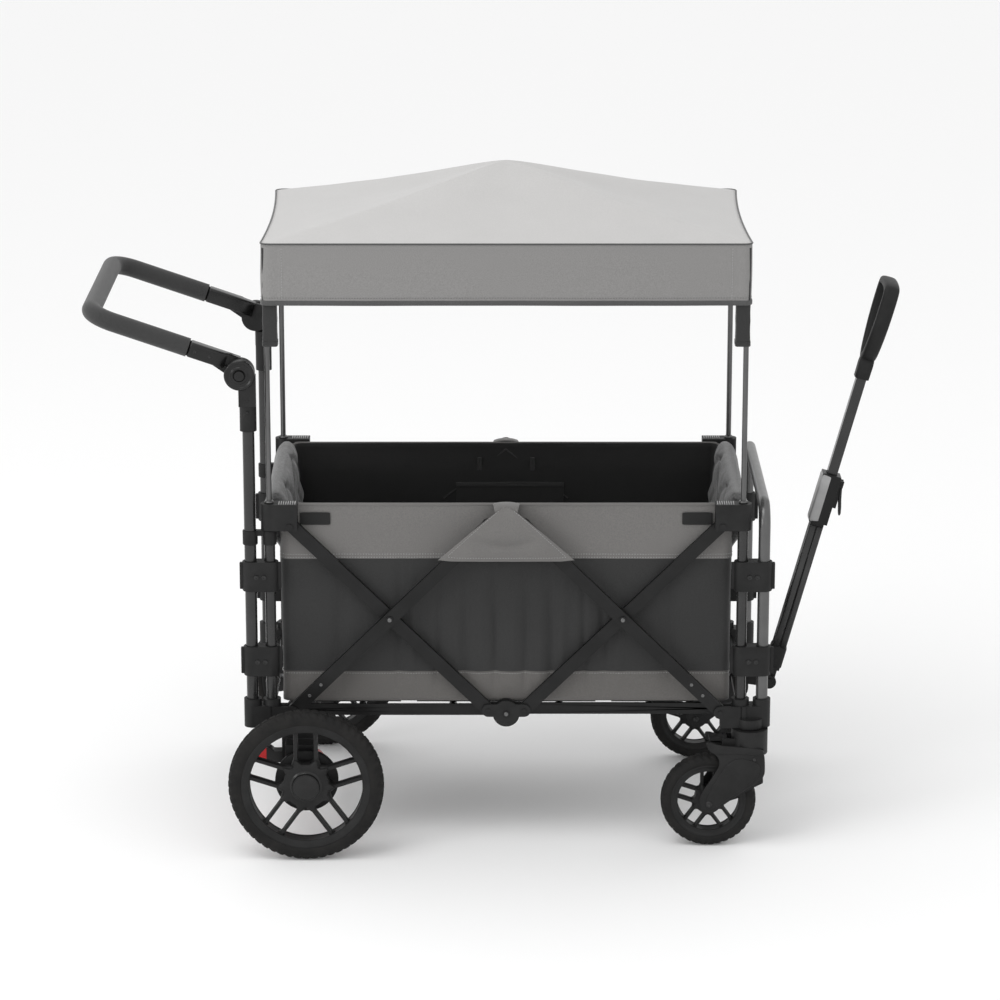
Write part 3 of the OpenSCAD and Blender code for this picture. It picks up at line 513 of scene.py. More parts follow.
def canopy_sheet():
    """Roof: each ring is the eave's outline shrunk to r, at eave + rise (1 - r), less a sag that is a
    half sine along r, deepest between the rods. Valance: the outline going straight down, with
    shallow hanging folds that grow towards the hem and a slight flare."""
    ring, normal = eave_ring()
    r = np.linspace(0, 1, ROOF_RINGS)[:, None]
    x, y = ring[:, 0] * r, ring[:, 1] * r
    rise = CROWN_Z - EAVE_Z
    angle = np.arctan2(ring[:, 1] / ROOF_Y, ring[:, 0] / ROOF_X)
    between = np.cos(2 * angle) ** 2
    long_side = np.abs(np.sin(angle)) > np.abs(np.cos(angle))
    depth = np.where(long_side, 9 * MM, 6 * MM) * between
    slope = 1 - r - 0.06 * np.sin(math.pi * r)
    dome = np.sqrt(1 + (r / 0.09) ** 2) - r / 0.09
    height = EAVE_Z + rise * (slope - 0.055 * dome) - depth * np.sin(math.pi * r)
    taut = 0.6 * MM * ripple(x, y, 3, 0.16) * np.sin(math.pi * r)
    roof = np.stack([x, y, height + taut], -1)
    fall = np.linspace(0, 1, HEM_RINGS)[1:, None]
    run = np.arange(ROUND) / ROUND * 2.9
    folds = 1.6 * MM * ripple(run[None, :] * np.ones_like(fall), 0.25 * fall, 8, 0.34) * fall
    seam_gap = np.abs(np.abs(ring[:, 0]) - (ROOF_X - 30 * MM))
    seam = -0.9 * MM * np.exp(-(seam_gap / (1.6 * MM)) ** 2)
    out = (folds + seam + 1.0 * MM * fall)[..., None] * normal
    down = np.broadcast_to(EAVE_Z - (EAVE_Z - HEM_Z) * fall, out.shape[:2])
    wall = np.concatenate([ring + out, down[..., None]], -1)
    sheet = np.concatenate([roof, wall])
    sheet[..., 0] += MID_X
    return sheet


canopy_points = canopy_sheet()
CANOPY = piece("canopy_cloth", [(canopy_points, False, True)], roof_cloth(EAVE_Z), "canopy_rear")
modifier(CANOPY, "SOLIDIFY", thickness=1.2 * MM, offset=-1.0)
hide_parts("canopy_roof")

# %% Eave piping and hem tape
hem_path = canopy_points[-1].copy()
hem_path[:, 2] += 4 * MM
HEM = piece("canopy_hem", [tube(hem_path, (1.7 * MM, 4.6 * MM), (0, 0, 1), 12, True, 5)],
            CLOTH_BINDING, "canopy_rear")
eave_path = canopy_points[ROOF_RINGS - 1].copy()
PIPING = piece("canopy_piping", [tube(eave_path, (1.7 * MM, 1.7 * MM), (0, 0, 1), 10, True)],
               CLOTH_BINDING, "canopy_rear")


def stitches(name, path, outward, body, radius=0.45 * MM, material=THREAD):
    """A row of stitches: a six-sided lens 3.2 mm long every 5 mm of a path, just proud of the cloth."""
    pitch, length = 5 * MM, 3.2 * MM
    path, outward = np.asarray(path, float), np.asarray(outward, float)
    run = np.concatenate([[0], np.cumsum(np.linalg.norm(np.diff(path, axis=0), axis=1))])
    at = np.arange(pitch, run[-1], pitch)
    centre, out = (np.stack([np.interp(at, run, a[:, k]) for k in range(3)], -1) for a in (path, outward))
    ahead = np.stack([np.interp(at + 1 * MM, run, path[:, k]) for k in range(3)], -1) - centre
    ahead /= np.linalg.norm(ahead, axis=1, keepdims=True) + 1e-12
    side = np.cross(ahead, out)
    turn = np.linspace(0, TAU, 6, endpoint=False)
    rings = []
    for place, size in ((-0.5, 0.05), (-0.25, 0.9), (0.25, 0.9), (0.5, 0.05)):
        ring = side[:, None] * np.cos(turn)[:, None] + out[:, None] * np.sin(turn)[:, None]
        rings.append(centre[:, None] + ahead[:, None] * place * length + ring * radius * size)
    grid = np.stack(rings, 1)
    grids = [(one, False, True) for one in grid]
    return piece(name, grids, material, body, merge=1e-7)


def up_and_out(path, normal, lift):
    """A path lifted off the cloth along its outward normals, with those normals as 3-D vectors."""
    out = np.concatenate([normal, np.zeros((len(normal), 1))], -1)
    return path + out * lift, out


ring_2d, ring_out = eave_ring()
hem_seam, hem_out = up_and_out(canopy_points[-4], ring_out, 0.3 * MM)
hem_stitches = stitches("canopy_hem_stitches", hem_seam, hem_out, "canopy_rear",
                        material=CLOTH_BINDING)

seams = []
for sx in (-1, 1):
    for sy in (-1, 1):
        away = np.abs(ring_2d[:, 0] - sx * (ROOF_X - 38 * MM)) + 10 * (np.sign(ring_2d[:, 1]) != sy)
        column = int(np.argmin(away))
        line = canopy_points[ROOF_RINGS:-2, column]
        out = np.tile([0.0, sy, 0.0], (HEM_RINGS - 3, 1))
        seams.append(stitches(f"valance_seam_{sx + 1}{sy + 1}", line + out * 0.3 * MM, out, "canopy_rear",
                              radius=0.6 * MM))

# %% Canopy rods
rib_low, rib_high = box("canopy_ribs")


def rod(sx, sy):
    """A springy rod: from a corner pocket to the crown disc, hanging by a half sine of 4 mm."""
    t = np.linspace(0, 1, 40)[:, None]
    start = np.array([MID_X + sx * (rib_high[0] - rib_low[0] - 6 * MM) / 2,
                      sy * (rib_high[1] - rib_low[1]) / 2, rib_low[2] + 3 * MM])
    end = np.array([MID_X + sx * 20 * MM, sy * 12 * MM, rib_high[2] - 20 * MM])
    line = start + (end - start) * t
    line[:, 2:] -= 4 * MM * np.sin(math.pi * t)
    return tube(line, (3 * MM, 3 * MM), (0, 0, 1), 12)


disc_z = rib_high[2] - 17 * MM
disc = [(0, -4.5), (24, -4.5), (28, -3), (29, 0), (28, 3), (12, 4), (0, 4)]
RIBS = piece("canopy_rods", [rod(sx, sy) for sx in (-1, 1) for sy in (-1, 1)]
             + [lathe(np.array(disc) * MM, (MID_X, 0, disc_z), 48, "z")], ROD, "canopy_rear")
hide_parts("canopy_ribs")

# %% Canopy poles and their sleeves
def pole_end(end, body):
    """Two steel poles, each with a lathed foot ring, and the bar that joins them under the eave."""
    node = f"{end}_poles"
    low, high = box(node)
    cap_low, cap_high = box(f"{end}_caps")
    post_low, post_high = box(f"{end}_posts")
    x = float(post_low[0] + post_high[0]) / 2
    y = float(post_high[1]) - 10 * MM
    grids = []
    for side in (-1, 1):
        line = np.stack([np.full(30, x), np.full(30, side * y),
                         np.linspace(low[2], high[2] - 1 * MM, 30)], -1)
        grids.append(tube(line, (5 * MM, 5 * MM), (0, 1, 0), 24))
        ring = [(5, 0), (8, 0), (8.6, 1), (8.6, 3), (7.5, 4.4), (5, 5)]
        grids.append(lathe(np.array(ring) * MM, (x, side * y, cap_high[2]), 32, "z"))
    across = np.stack([np.full(40, x), np.linspace(-y, y, 40), np.full(40, high[2] - 14 * MM)], -1)
    grids.append(tube(across, (6 * MM, 6 * MM), (0, 0, 1), 20))
    poles = piece(f"{end}_pole_tubes", grids, POLE, body)
    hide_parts(node)
    inward = 1 if end == "rear" else -1
    outer_x = low[0] if end == "rear" else high[0]
    width, depth = 27 * MM, 31 * MM
    drop = np.linspace(0, 1, 40)
    height = high[2] - 2 * MM - (high[2] - 2 * MM - (HEM_Z - 0.078)) * drop
    for side, label in ((-1, "near"), (1, "far")):
        centre = np.stack([np.full(40, outer_x + inward * width / 2),
                           np.full(40, side * (high[1] - depth / 2)), height], -1)
        wave = 1 - 0.035 * np.abs(np.sin(drop * 17)) * smooth_step(drop, 0.1, 0.4)
        across_sleeve = np.stack([width / 2 * wave, depth / 2 * wave], -1)
        grids = [tube(centre, across_sleeve, (0, 1, 0), 40, False, 8)]
        hem_middle = [centre[-1, 0], centre[-1, 1], height[-1] + 5 * MM]
        hem = np.array([hem_middle] * 2) + [[0, 0, 4 * MM], [0, 0, -4 * MM]]
        grids.append(tube(hem, (width / 2 + 0.8 * MM, depth / 2 + 0.5 * MM), (0, 1, 0), 40, False, 8))
        sleeve = piece(f"{end}_sleeve_{label}", grids, CLOTH_POCKET, body)


pole_end("rear", "canopy_rear")
pole_end("front", "canopy_front")
for cloth in (CANOPY, HEM, PIPING, RIBS, *seams, hem_stitches):
    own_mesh(cloth)

# %% [markdown]
# ## Basket
# The basket is a bag sewn from panels: a lining, an outer skin with two grey bands, and tape over
# the rim. Both skins are the same rounded rectangle swept up the wall. Long soft folds hang in the
# outer skin between the places where the frame holds it, so they fade out at the rim and the floor.

# %% Basket skins
BASKET_X, BASKET_Y = (rim_high[:2] - rim_low[:2]) / 2
BASKET_FLOOR, RIM_Z = float(rim_low[2]), float(rim_high[2])
WALL_ROUND = 900


# Each hanging fold: place from the middle in m, then width, depth and lean in mm.
FOLDS = ((-0.078, 9, -5.5, 8), (-0.048, 11, 2.8, 6), (-0.022, 7, -6.0, -6), (0.012, 11, 2.6, 4),
         (0.036, 7, -5.0, 3), (0.062, 8, 2.0, -5), (0.083, 8, -5.5, -8), (0.105, 9, 2.4, 8),
         (-0.31, 16, -3.6, 20), (0.3, 15, -3.8, -22), (-0.2, 8, -3.4, 6), (-0.175, 7, 2.0, 4),
         (0.18, 7, -3.2, -6), (0.21, 8, 1.8, -6), (-0.13, 6, -3.0, 3), (0.145, 6, -3.0, -3))


def wall_folds(ring, height):
    """How far the outer skin stands in or out: hanging folds as narrow bell curves at chosen places
    along the side, slow waves over everything, and the top band a cloth's thickness proud."""
    x = ring[None, :, 0]
    up = (height - BASKET_FLOOR) / (RIM_Z - BASKET_FLOOR)
    held = smooth_step(up, 0.0, 0.12) * (1 - smooth_step(up, 0.86, 1.0))
    side = smooth_step(np.abs(ring[None, :, 1]), 0.8 * BASKET_Y, 0.95 * BASKET_Y)
    bells = 0
    for at, wide, deep, lean in FOLDS:
        bells = bells + 1.4 * deep * MM * np.exp(-((x - at - lean * MM * (up - 0.4)) / (wide * MM)) ** 2)
    slow = 1.3 * MM * ripple(ring[None, :, 0] + 0 * height, 0.5 * height + ring[None, :, 1], 5, 0.22)
    middle = np.exp(-((up - 0.34) / 0.28) ** 2)
    proud = 1.2 * MM * smooth_step(height, BAND_HIGH - 0.4 * MM, BAND_HIGH + 0.6 * MM)
    ridge = 0.9 * MM * np.exp(-((height - BAND_LOW) / (1.3 * MM)) ** 2)
    return (bells * middle * side + slow) * held + proud + ridge - 2.2 * MM


def basket_wall(inset, folds, top, bottom, rows):
    """The rounded rectangle, inset, swept from bottom to top and pushed along its normals by folds."""
    ring, normal = rounded_rectangle(BASKET_X - inset, BASKET_Y - inset, 18 * MM, WALL_ROUND)
    height = np.sort(np.concatenate([np.linspace(bottom, top, rows),
                                     BAND_HIGH + np.linspace(-2, 2, 7) * MM,
                                     BAND_LOW + np.linspace(-3, 3, 7) * MM]))[:, None]
    if folds:
        push = folds(ring, height)
    else:
        push = 1.0 * MM * ripple(ring[None, :, 0] + 0 * height, height + ring[None, :, 1], 9, 0.12)
        push = push - 9 * MM * smooth_step(RIM_Z - height, 6 * MM, 60 * MM)
    flat = ring[None] + push[..., None] * normal[None]
    grid = np.concatenate([flat, np.broadcast_to(height, push.shape)[..., None]], -1)
    grid[..., 0] += MID_X
    return grid


def with_floor(wall, height):
    """A wall's lowest ring shrunk in steps to the middle, so that the wall and its floor are one sheet."""
    shrink = np.linspace(0, 1, 16)[:, None, None]
    edge = wall[0]
    middle = np.array([MID_X, 0, height])
    floor = middle + (edge - middle) * shrink
    floor[..., 2] = height + (edge[..., 2] - height) * shrink[..., 0] ** 8
    return np.concatenate([floor[:-1], wall])


outer_wall = basket_wall(0, wall_folds, RIM_Z, BASKET_FLOOR + 1 * MM, 60)
OUTER = piece("basket_cloth", [(with_floor(outer_wall, BASKET_FLOOR + 1 * MM), False, True)],
              banded_cloth(), "rear_top_caps")
modifier(OUTER, "SOLIDIFY", thickness=1.2 * MM, offset=-1.0)
inner_wall = basket_wall(5 * MM, None, RIM_Z, BASKET_FLOOR + 4 * MM, 40)
LINING = piece("basket_lining", [(with_floor(inner_wall, BASKET_FLOOR + 4 * MM), False, True)],
               CLOTH_BLACK, "rear_top_caps")
modifier(LINING, "SOLIDIFY", thickness=1.0 * MM, offset=-1.0)
rim_path = 0.8 * outer_wall[-1] + 0.2 * inner_wall[-1]
at_ends = smooth_step(np.abs(rim_path[:, 0] - MID_X), BASKET_X - 8 * MM, BASKET_X - 1 * MM)
rim_path[:, 2] = RIM_Z - 1.5 * MM - 14 * MM * at_ends
RIM = piece("basket_rim_tape", [tube(rim_path, (1.9 * MM, 3.2 * MM), (0, 0, 1), 16, True, 3)],
            CLOTH_GREY, "rear_top_caps")
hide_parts("basket_liner")

# %% Seams on the basket
ring_basket, out_basket = rounded_rectangle(BASKET_X, BASKET_Y, 18 * MM, WALL_ROUND)
heights = outer_wall[:, 0, 2]


def wall_line(height, lift):
    """The outer wall's ring nearest to a height, lifted off the cloth."""
    ring = outer_wall[int(np.argmin(np.abs(heights - height)))].copy()
    ring[:, 2] = height
    return up_and_out(ring, out_basket, lift)


seams = []
for number, height in enumerate((BAND_HIGH + 3 * MM, BAND_HIGH + 9 * MM, BAND_LOW - 4 * MM)):
    line, out = wall_line(height, 0.25 * MM)
    seams.append(stitches(f"basket_seam_{number}", line, out, "rear_top_caps", radius=0.55 * MM))
for soft in (OUTER, LINING, RIM, *seams):
    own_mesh(soft)

# %% [markdown]
# ## Side flaps
# Over each top hub lies a triangle of the same grey cloth. A short strip joins its tip to the rim.
# The flap is a sheet, doubled and turned in at its edges, so it has a little thickness and a row of
# stitches.

# %% Side flaps
flap_low, flap_high = box("side_flaps")


def flap(side):
    """A tent shape whose half width is the square root of a quadratic in the distance to the apex, so
    that straight sides end in a round tip. It stands off the hub like a cushion, a half cosine
    across times a half sine up, with a soft crease across it."""
    u = np.linspace(-1, 1, 90)[:, None]
    v = np.linspace(0, 1, 90)[None, :]
    bottom, top = flap_low[2] + 8 * MM, flap_high[2] - 1 * MM
    left = (1 - v) ** 1.5
    half = 115 * MM * np.sqrt(left ** 2 + 0.2 * left) + 0.2 * MM
    x = MID_X + u * half
    z = bottom + (top - bottom) * (1 - left) + 2.0 * MM * smooth_step(np.abs(u), 0.8, 1) * left
    puff = 6.0 * MM * np.cos(u * math.pi / 2) ** 0.7 * np.sin(math.pi * np.clip(1.08 - left, 0, 1)) ** 0.8
    inside = np.cos(u * math.pi / 2)
    crease = -6.0 * MM * np.exp(-((left - 0.64 - 0.06 * np.cos(u * 3)) / 0.075) ** 2) * inside ** 2
    wave = 0.5 * MM * ripple(x, z, 12, 0.08)
    y = flap_high[1] - 1.2 * MM + puff + crease + wave * inside
    y = y - 3.5 * MM * smooth_step(1 - left, 0.86, 1.0)
    return np.stack([x, side * y, z], -1)


for side, label in ((-1, "near"), (1, "far")):
    points = flap(side)
    grey_flap = piece(f"side_flap_{label}", [(points, False, False)], CLOTH_GREY, "top_hubs")
    modifier(grey_flap, "SOLIDIFY", thickness=1.6 * MM, offset=0.0)
    if side < 0:
        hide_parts("side_flaps")
    bend = np.linspace(0, 1, 24)[None, :]
    width = np.linspace(-1, 1, 24)[:, None]
    reach = flap_high[1] - 5.5 * MM
    across = side * (reach + (BASKET_Y - reach) * smooth_step(bend, 0.15, 1)) + 0 * width
    droop = (12 * (1 - bend) ** 3 + 4 * np.abs(width) ** 2.5) * MM
    bridge = np.stack([MID_X + width * (20 + 6 * bend) * MM, across,
                       flap_high[2] - droop + 1.5 * MM * np.sin(math.pi * bend)], -1)
    strip = piece(f"flap_bridge_{label}", [(bridge, False, False)], CLOTH_GREY, "top_hubs")
    modifier(strip, "SOLIDIFY", thickness=1.4 * MM, offset=0.0)
    edge = np.concatenate([points[3, 78:4:-8], points[4:-4:6, 4], points[-4, 4:78:8]])
    out = np.tile([0.0, side, 0.0], (len(edge), 1))
    row = stitches(f"flap_stitches_{label}", edge + out * 1.1 * MM, out, "top_hubs")

# %% [markdown]
# ## Padded ends and floor mat
# These are bags of foam. Each starts as a slab on a grid; cloth simulation with inside pressure
# then swells it between its edges, and the sewn channels are pressed in afterwards, because a
# remesh would fill them.

# %% Padding
def slab(half, thick, axis, centre, roundness=6, rows=70, columns=60):
    """A pillow block: a sphere's directions pushed out to a superellipse box of the given half sizes."""
    u = np.linspace(-math.pi / 2, math.pi / 2, rows)[:, None]
    v = np.linspace(0, TAU, columns, endpoint=False)[None, :]
    power = 2 / roundness
    a = sign_power(np.cos(u), power) * sign_power(np.cos(v), power) * half[0]
    b = sign_power(np.cos(u), power) * sign_power(np.sin(v), power) * half[1]
    c = np.sign(u) * np.abs(np.sin(u)) ** (2 / 2.5) * thick + 0 * v
    order = {"x": (c, a, b), "z": (a, b, c)}[axis]
    return np.stack(order, -1) + np.asarray(centre), False, True


def evaluated_mesh(thing):
    """A new mesh that holds what the piece's modifiers make of it."""
    return bpy.data.meshes.new_from_object(thing.evaluated_get(bpy.context.evaluated_depsgraph_get()))


def swell(thing, voxel, pressure, cap):
    """Remeshes a closed piece, lets cloth with inside pressure swell it for 20 frames, and keeps each
    point within cap of where it began."""
    modifier(thing, "REMESH", mode="VOXEL", voxel_size=voxel)
    bpy.context.view_layer.update()
    fixed = evaluated_mesh(thing)
    thing.modifiers.clear()
    thing.data = fixed
    before = np.empty(len(fixed.vertices) * 3)
    fixed.vertices.foreach_get("co", before)
    cloth = thing.modifiers.new("cloth", "CLOTH")
    cloth.settings.use_pressure = True
    cloth.settings.uniform_pressure_force = pressure
    cloth.settings.effector_weights.gravity = 0.0
    cloth.settings.quality = 4
    for number in range(1, 21):
        bpy.context.scene.frame_set(number)
    swollen = evaluated_mesh(thing)
    after = np.empty(len(swollen.vertices) * 3)
    swollen.vertices.foreach_get("co", after)
    move = (after - before).reshape(-1, 3)
    size = np.linalg.norm(move, axis=1, keepdims=True)
    move *= np.minimum(1, cap / np.maximum(size, 1e-9))
    thing.modifiers.clear()
    thing.data.vertices.foreach_set("co", (before.reshape(-1, 3) + move).ravel())
    bpy.context.scene.frame_set(1)
    thing.data.polygons.foreach_set("use_smooth", np.full(len(thing.data.polygons), True))
    thing.data.update()
    return thing


def press(thing, move):
    """Moves every vertex by move(points), worked out for the whole array at once."""
    points = np.empty(len(thing.data.vertices) * 3)
    thing.data.vertices.foreach_get("co", points)
    points = points.reshape(-1, 3)
    thing.data.vertices.foreach_set("co", (points + move(points)).ravel())
    thing.data.update()


# Each crease: distance below the rim in m, slope, then width and depth in mm.
PAD_CREASES = ((0.0, 0.3, 8, -6.5), (0.035, 0.4, 9, 3.0), (0.068, 0.5, 8, -6.0), (0.12, 0.5, 10, -4.5))


def padded_end(node, inward, body):
    """A padded end panel. Towards its top it grows thicker and moves outwards over the rim, by a smooth
    step of height; creases are slanting bell curves that fan from the lower corners."""
    low, high = box(node)
    centre, half = (low + high) / 2, (high - low) / 2
    top, bottom = RIM_Z + 19 * MM, low[2] + 1 * MM
    middle = np.array([centre[0], 0, (top + bottom) / 2])
    block = slab((half[1] - 3 * MM, (top - bottom) / 2 - 2 * MM), 12 * MM, "x", middle, 14, 80, 90)
    pad = piece(node.replace("end_pad", "padded_end"), [block], CLOTH_HEATHER, None)
    swell(pad, 6 * MM, 5.0, 4 * MM)

    def shape(p):
        across, up = p[:, 1] / half[1], smooth_step(p[:, 2], RIM_Z - 0.105, RIM_Z - 0.045)
        deep = (p[:, 0] - middle[0]) * inward
        inner = smooth_step(deep, -2 * MM, 8 * MM)
        down = RIM_Z - p[:, 2]
        crease = 0
        for start, slope, wide, height in PAD_CREASES:
            line = down - start - slope * np.abs(np.abs(across) - 0.45) ** 1.3 * 0.5
            crease = crease + height * MM * np.exp(-(line / (wide * MM)) ** 2)
        fine = 1.0 * MM * ripple(p[:, 1], p[:, 2] * 1.6, 22, 0.07)
        wider = deep * (0.5 * up - 0.25 * (1 - up))
        move = wider - 20 * MM * up + (crease + fine) * inner
        return np.stack([inward * move, 0.022 * p[:, 1] * up, 0 * up], -1)

    press(pad, shape)
    modifier(pad, "SUBSURF", levels=1, render_levels=1)
    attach(pad, body)
    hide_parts(node)
    return pad


padded_end("rear_end_pad", 1, "rear_top_caps")
padded_end("front_end_pad", -1, "front_top_caps")


def padded_floor():
    """The floor mat: three panels across the wagon, hinged at two sewn lines, each slightly crowned."""
    centre, half = (mat_low + mat_high) / 2, (mat_high - mat_low) / 2
    block = slab((half[0] - 2 * MM, half[1] - 2 * MM), half[2], "z", centre, 9)
    mat = piece("padded_mat", [block], CLOTH_BLACK, None)
    swell(mat, 7 * MM, 3.0, 2 * MM)

    def hinges(p):
        along = (p[:, 0] - centre[0]) / half[0]
        line = np.exp(-((np.abs(along) - 0.333) / 0.012) ** 2)
        top = smooth_step(p[:, 2], centre[2] - 1 * MM, centre[2] + 2 * MM)
        crown = 1.5 * MM * ripple(p[:, 0], p[:, 1], 31, 0.15)
        return np.stack([0 * along, 0 * along, top * (crown - line * 5 * MM)], -1)

    press(mat, hinges)
    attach(mat, "rear_top_caps")
    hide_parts("floor_mat")
    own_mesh(mat)


padded_floor()

# %% Straps, snap tabs and the mesh pocket
def strap(name, centre, half, body, material=CLOTH_BINDING, face="y", wave=0.6 * MM):
    """A flat strap: a rounded rectangle of cloth, thin along one axis, with a slight ripple."""
    u = np.linspace(-1, 1, 24)[:, None]
    v = np.linspace(-1, 1, 16)[None, :]
    a, b = half[0] * u + 0 * v, half[1] * v * (1 - 0.1 * np.abs(u) ** 8)
    out = wave * np.sin(u * 4.1 + 1) * np.cos(v * 1.2)
    grid = np.stack([a, out, b], -1) if face == "y" else np.stack([out, a, b], -1)
    made = piece(name, [(grid + np.asarray(centre), False, False)], material, body)
    modifier(made, "SOLIDIFY", thickness=1.6 * MM, offset=0.0)
    modifier(made, "BEVEL", width=0.5 * MM, segments=2)
    return made


tabs = []
for side, label in ((-1, "near"), (1, "far")):
    for end, where in ((-1, "rear"), (1, "front")):
        x = MID_X + end * (BASKET_X - 67 * MM)
        tabs.append(strap(f"fastening_tab_{where}_{label}",
                          (x, side * (BASKET_Y + 0.8 * MM), RIM_Z - 28 * MM),
                          (28 * MM, 12 * MM), "rear_top_caps", CLOTH_BLACK))
for end in (-1, 1):
    tabs.append(strap(f"snap_tab_{end + 2}", (MID_X + end * 52 * MM, BASKET_Y - 14 * MM, RIM_Z - 40 * MM),
                      (4.5 * MM, 13 * MM), "rear_top_caps", CLOTH_POCKET))
tabs.append(strap("mesh_pocket", (MID_X + 8 * MM, BASKET_Y - 17 * MM, RIM_Z - 140 * MM),
                  (105 * MM, 62 * MM), "rear_top_caps", MESH, wave=1.5 * MM))
tabs.append(strap("pocket_binding", (MID_X + 8 * MM, BASKET_Y - 19 * MM, RIM_Z - 80 * MM),
                  (106 * MM, 4 * MM), "rear_top_caps", CLOTH_POCKET, wave=1.5 * MM))
for side in (-1, 1):
    run = np.linspace(0, 1, 40)[:, None]
    apex = np.array([MID_X, 0, RIM_Z - 12 * MM])
    foot = np.array([MID_X + side * 122 * MM, 0, BAND_HIGH - 3 * MM])
    wall = np.array([0, BASKET_Y - 7.2 * MM, 0])
    seam_line = apex + (foot - apex) * run + wall - run * np.array([0, 9 * MM, 0])
    seam = piece(f"lining_seam_{side + 2}", [tube(seam_line, (1.3 * MM, 1.3 * MM), (0, 1, 0), 10)],
                 CLOTH_POCKET, "rear_top_caps")
    tabs.append(seam)
for tab in tabs:
    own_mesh(tab)

# %% [markdown]
# ## Tyres
# A tyre is a lathe whose radius also changes with the angle: square waves cut chevron knobs into
# both shoulders, a ring of blocks stays in the middle, and the side wall carries fine raised rings.

# %% Tyres
def rim_radius(outer):
    """Where a tyre's bead sits: the tyre is 27 mm deep on a large wheel and 21 mm on a caster."""
    return outer - (27 * MM if outer > 0.12 else 21 * MM)


def tyre(name, node, body, knobs, knob_height):
    """Cross-section: a superellipse from bead to bead. Tread: the outline pulled in between knobs, by
    a smoothed square wave of angle plus a chevron that leans with the distance from the middle."""
    low, high = box(node)
    centre, outer, half = (low + high) / 2, (high[2] - low[2]) / 2, (high[1] - low[1]) / 2
    bead = rim_radius(outer) + 0.2 * MM
    steps = knobs * 12
    s = np.linspace(-1, 1, 61)[None, :]
    angle = np.linspace(0, TAU, steps, endpoint=False)[:, None]
    crown = (1 - np.abs(s) ** 2.6) ** (1 / 2.2)
    wall = smooth_step(np.abs(s), 0.93, 1.0)
    radius = bead + 4 * MM + (outer - bead - 4 * MM) * crown
    phase = (angle * knobs / TAU + 0.9 * np.abs(s)) % 1
    block = smooth_step(phase, 0.08, 0.16) * (1 - smooth_step(phase, 0.6, 0.68))
    shoulder = smooth_step(np.abs(s), 0.42, 0.48) * (1 - smooth_step(np.abs(s), 0.86, 0.93))
    middle = 1 - smooth_step(np.abs(s), 0.16, 0.2)
    later = (phase + 0.5) % 1
    middle_block = smooth_step(later, 0.04, 0.1) * (1 - smooth_step(later, 0.84, 0.9))
    stand = np.clip(shoulder * block + middle * middle_block, 0, 1)
    cut = knob_height * (1 - stand) * (1 - wall) * smooth_step(crown, 0.35, 0.6)
    radius = radius - cut
    across = half * np.sign(s) * np.abs(s) ** 0.8 * np.ones_like(angle)
    ring = 0.5 * MM * np.cos(np.clip((crown - 0.28) / 0.05, -1, 1) * math.pi / 2)
    across = across + np.sign(s) * ring * (np.abs(s) > 0.9)
    across = np.clip(across, -half, half)
    tread = np.stack([radius * np.cos(angle), across, radius * np.sin(angle)], -1) + centre
    few = s[:, ::12]
    inner = np.stack([bead * np.cos(angle) + 0 * few, half * 0.86 * few * np.ones_like(angle),
                      bead * np.sin(angle) + 0 * few], -1) + centre
    edges = [np.stack([tread[:, k], inner[:, k]], 1) for k in (0, -1)]
    made = piece(name, [(grid, True, False) for grid in (tread, inner, *edges)], RUBBER, body)
    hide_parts(node)
    return made


for kind, knobs, height in (("rear", 56, 2.0 * MM), ("caster", 38, 1.6 * MM)):
    for label in ("near", "far"):
        tyre(f"{kind}_tread_{label}", f"{kind}_tyre_{label}", f"{kind}_wheel_{label}", knobs, height)

# %% Wheel covers
def star(centre, peaks, notch, reach, thick):
    """A flat hub whose outline is a circle with ten points: a bell curve of angle at each spoke's root."""
    angle = np.linspace(0, TAU, 360, endpoint=False)[:, None]
    away = np.abs((angle - peaks[None] + math.pi) % TAU - math.pi).min(1, keepdims=True)
    radius = notch + (reach - notch) * np.exp(-(away / 0.12) ** 2)
    parts = [(0.0, thick), (0.86, thick), (0.97, thick - 0.8 * MM), (1.0, thick - 2.2 * MM),
             (1.0, 2.2 * MM - thick), (0.97, 0.8 * MM - thick), (0.86, -thick), (0.0, -thick)]
    radius, angle = radius[:, 0], angle[:, 0]
    rows = [np.stack([radius * k * np.cos(angle), np.full(360, y), radius * k * np.sin(angle)], -1)
            for k, y in parts]
    return np.stack(rows, 1) + centre, True, False


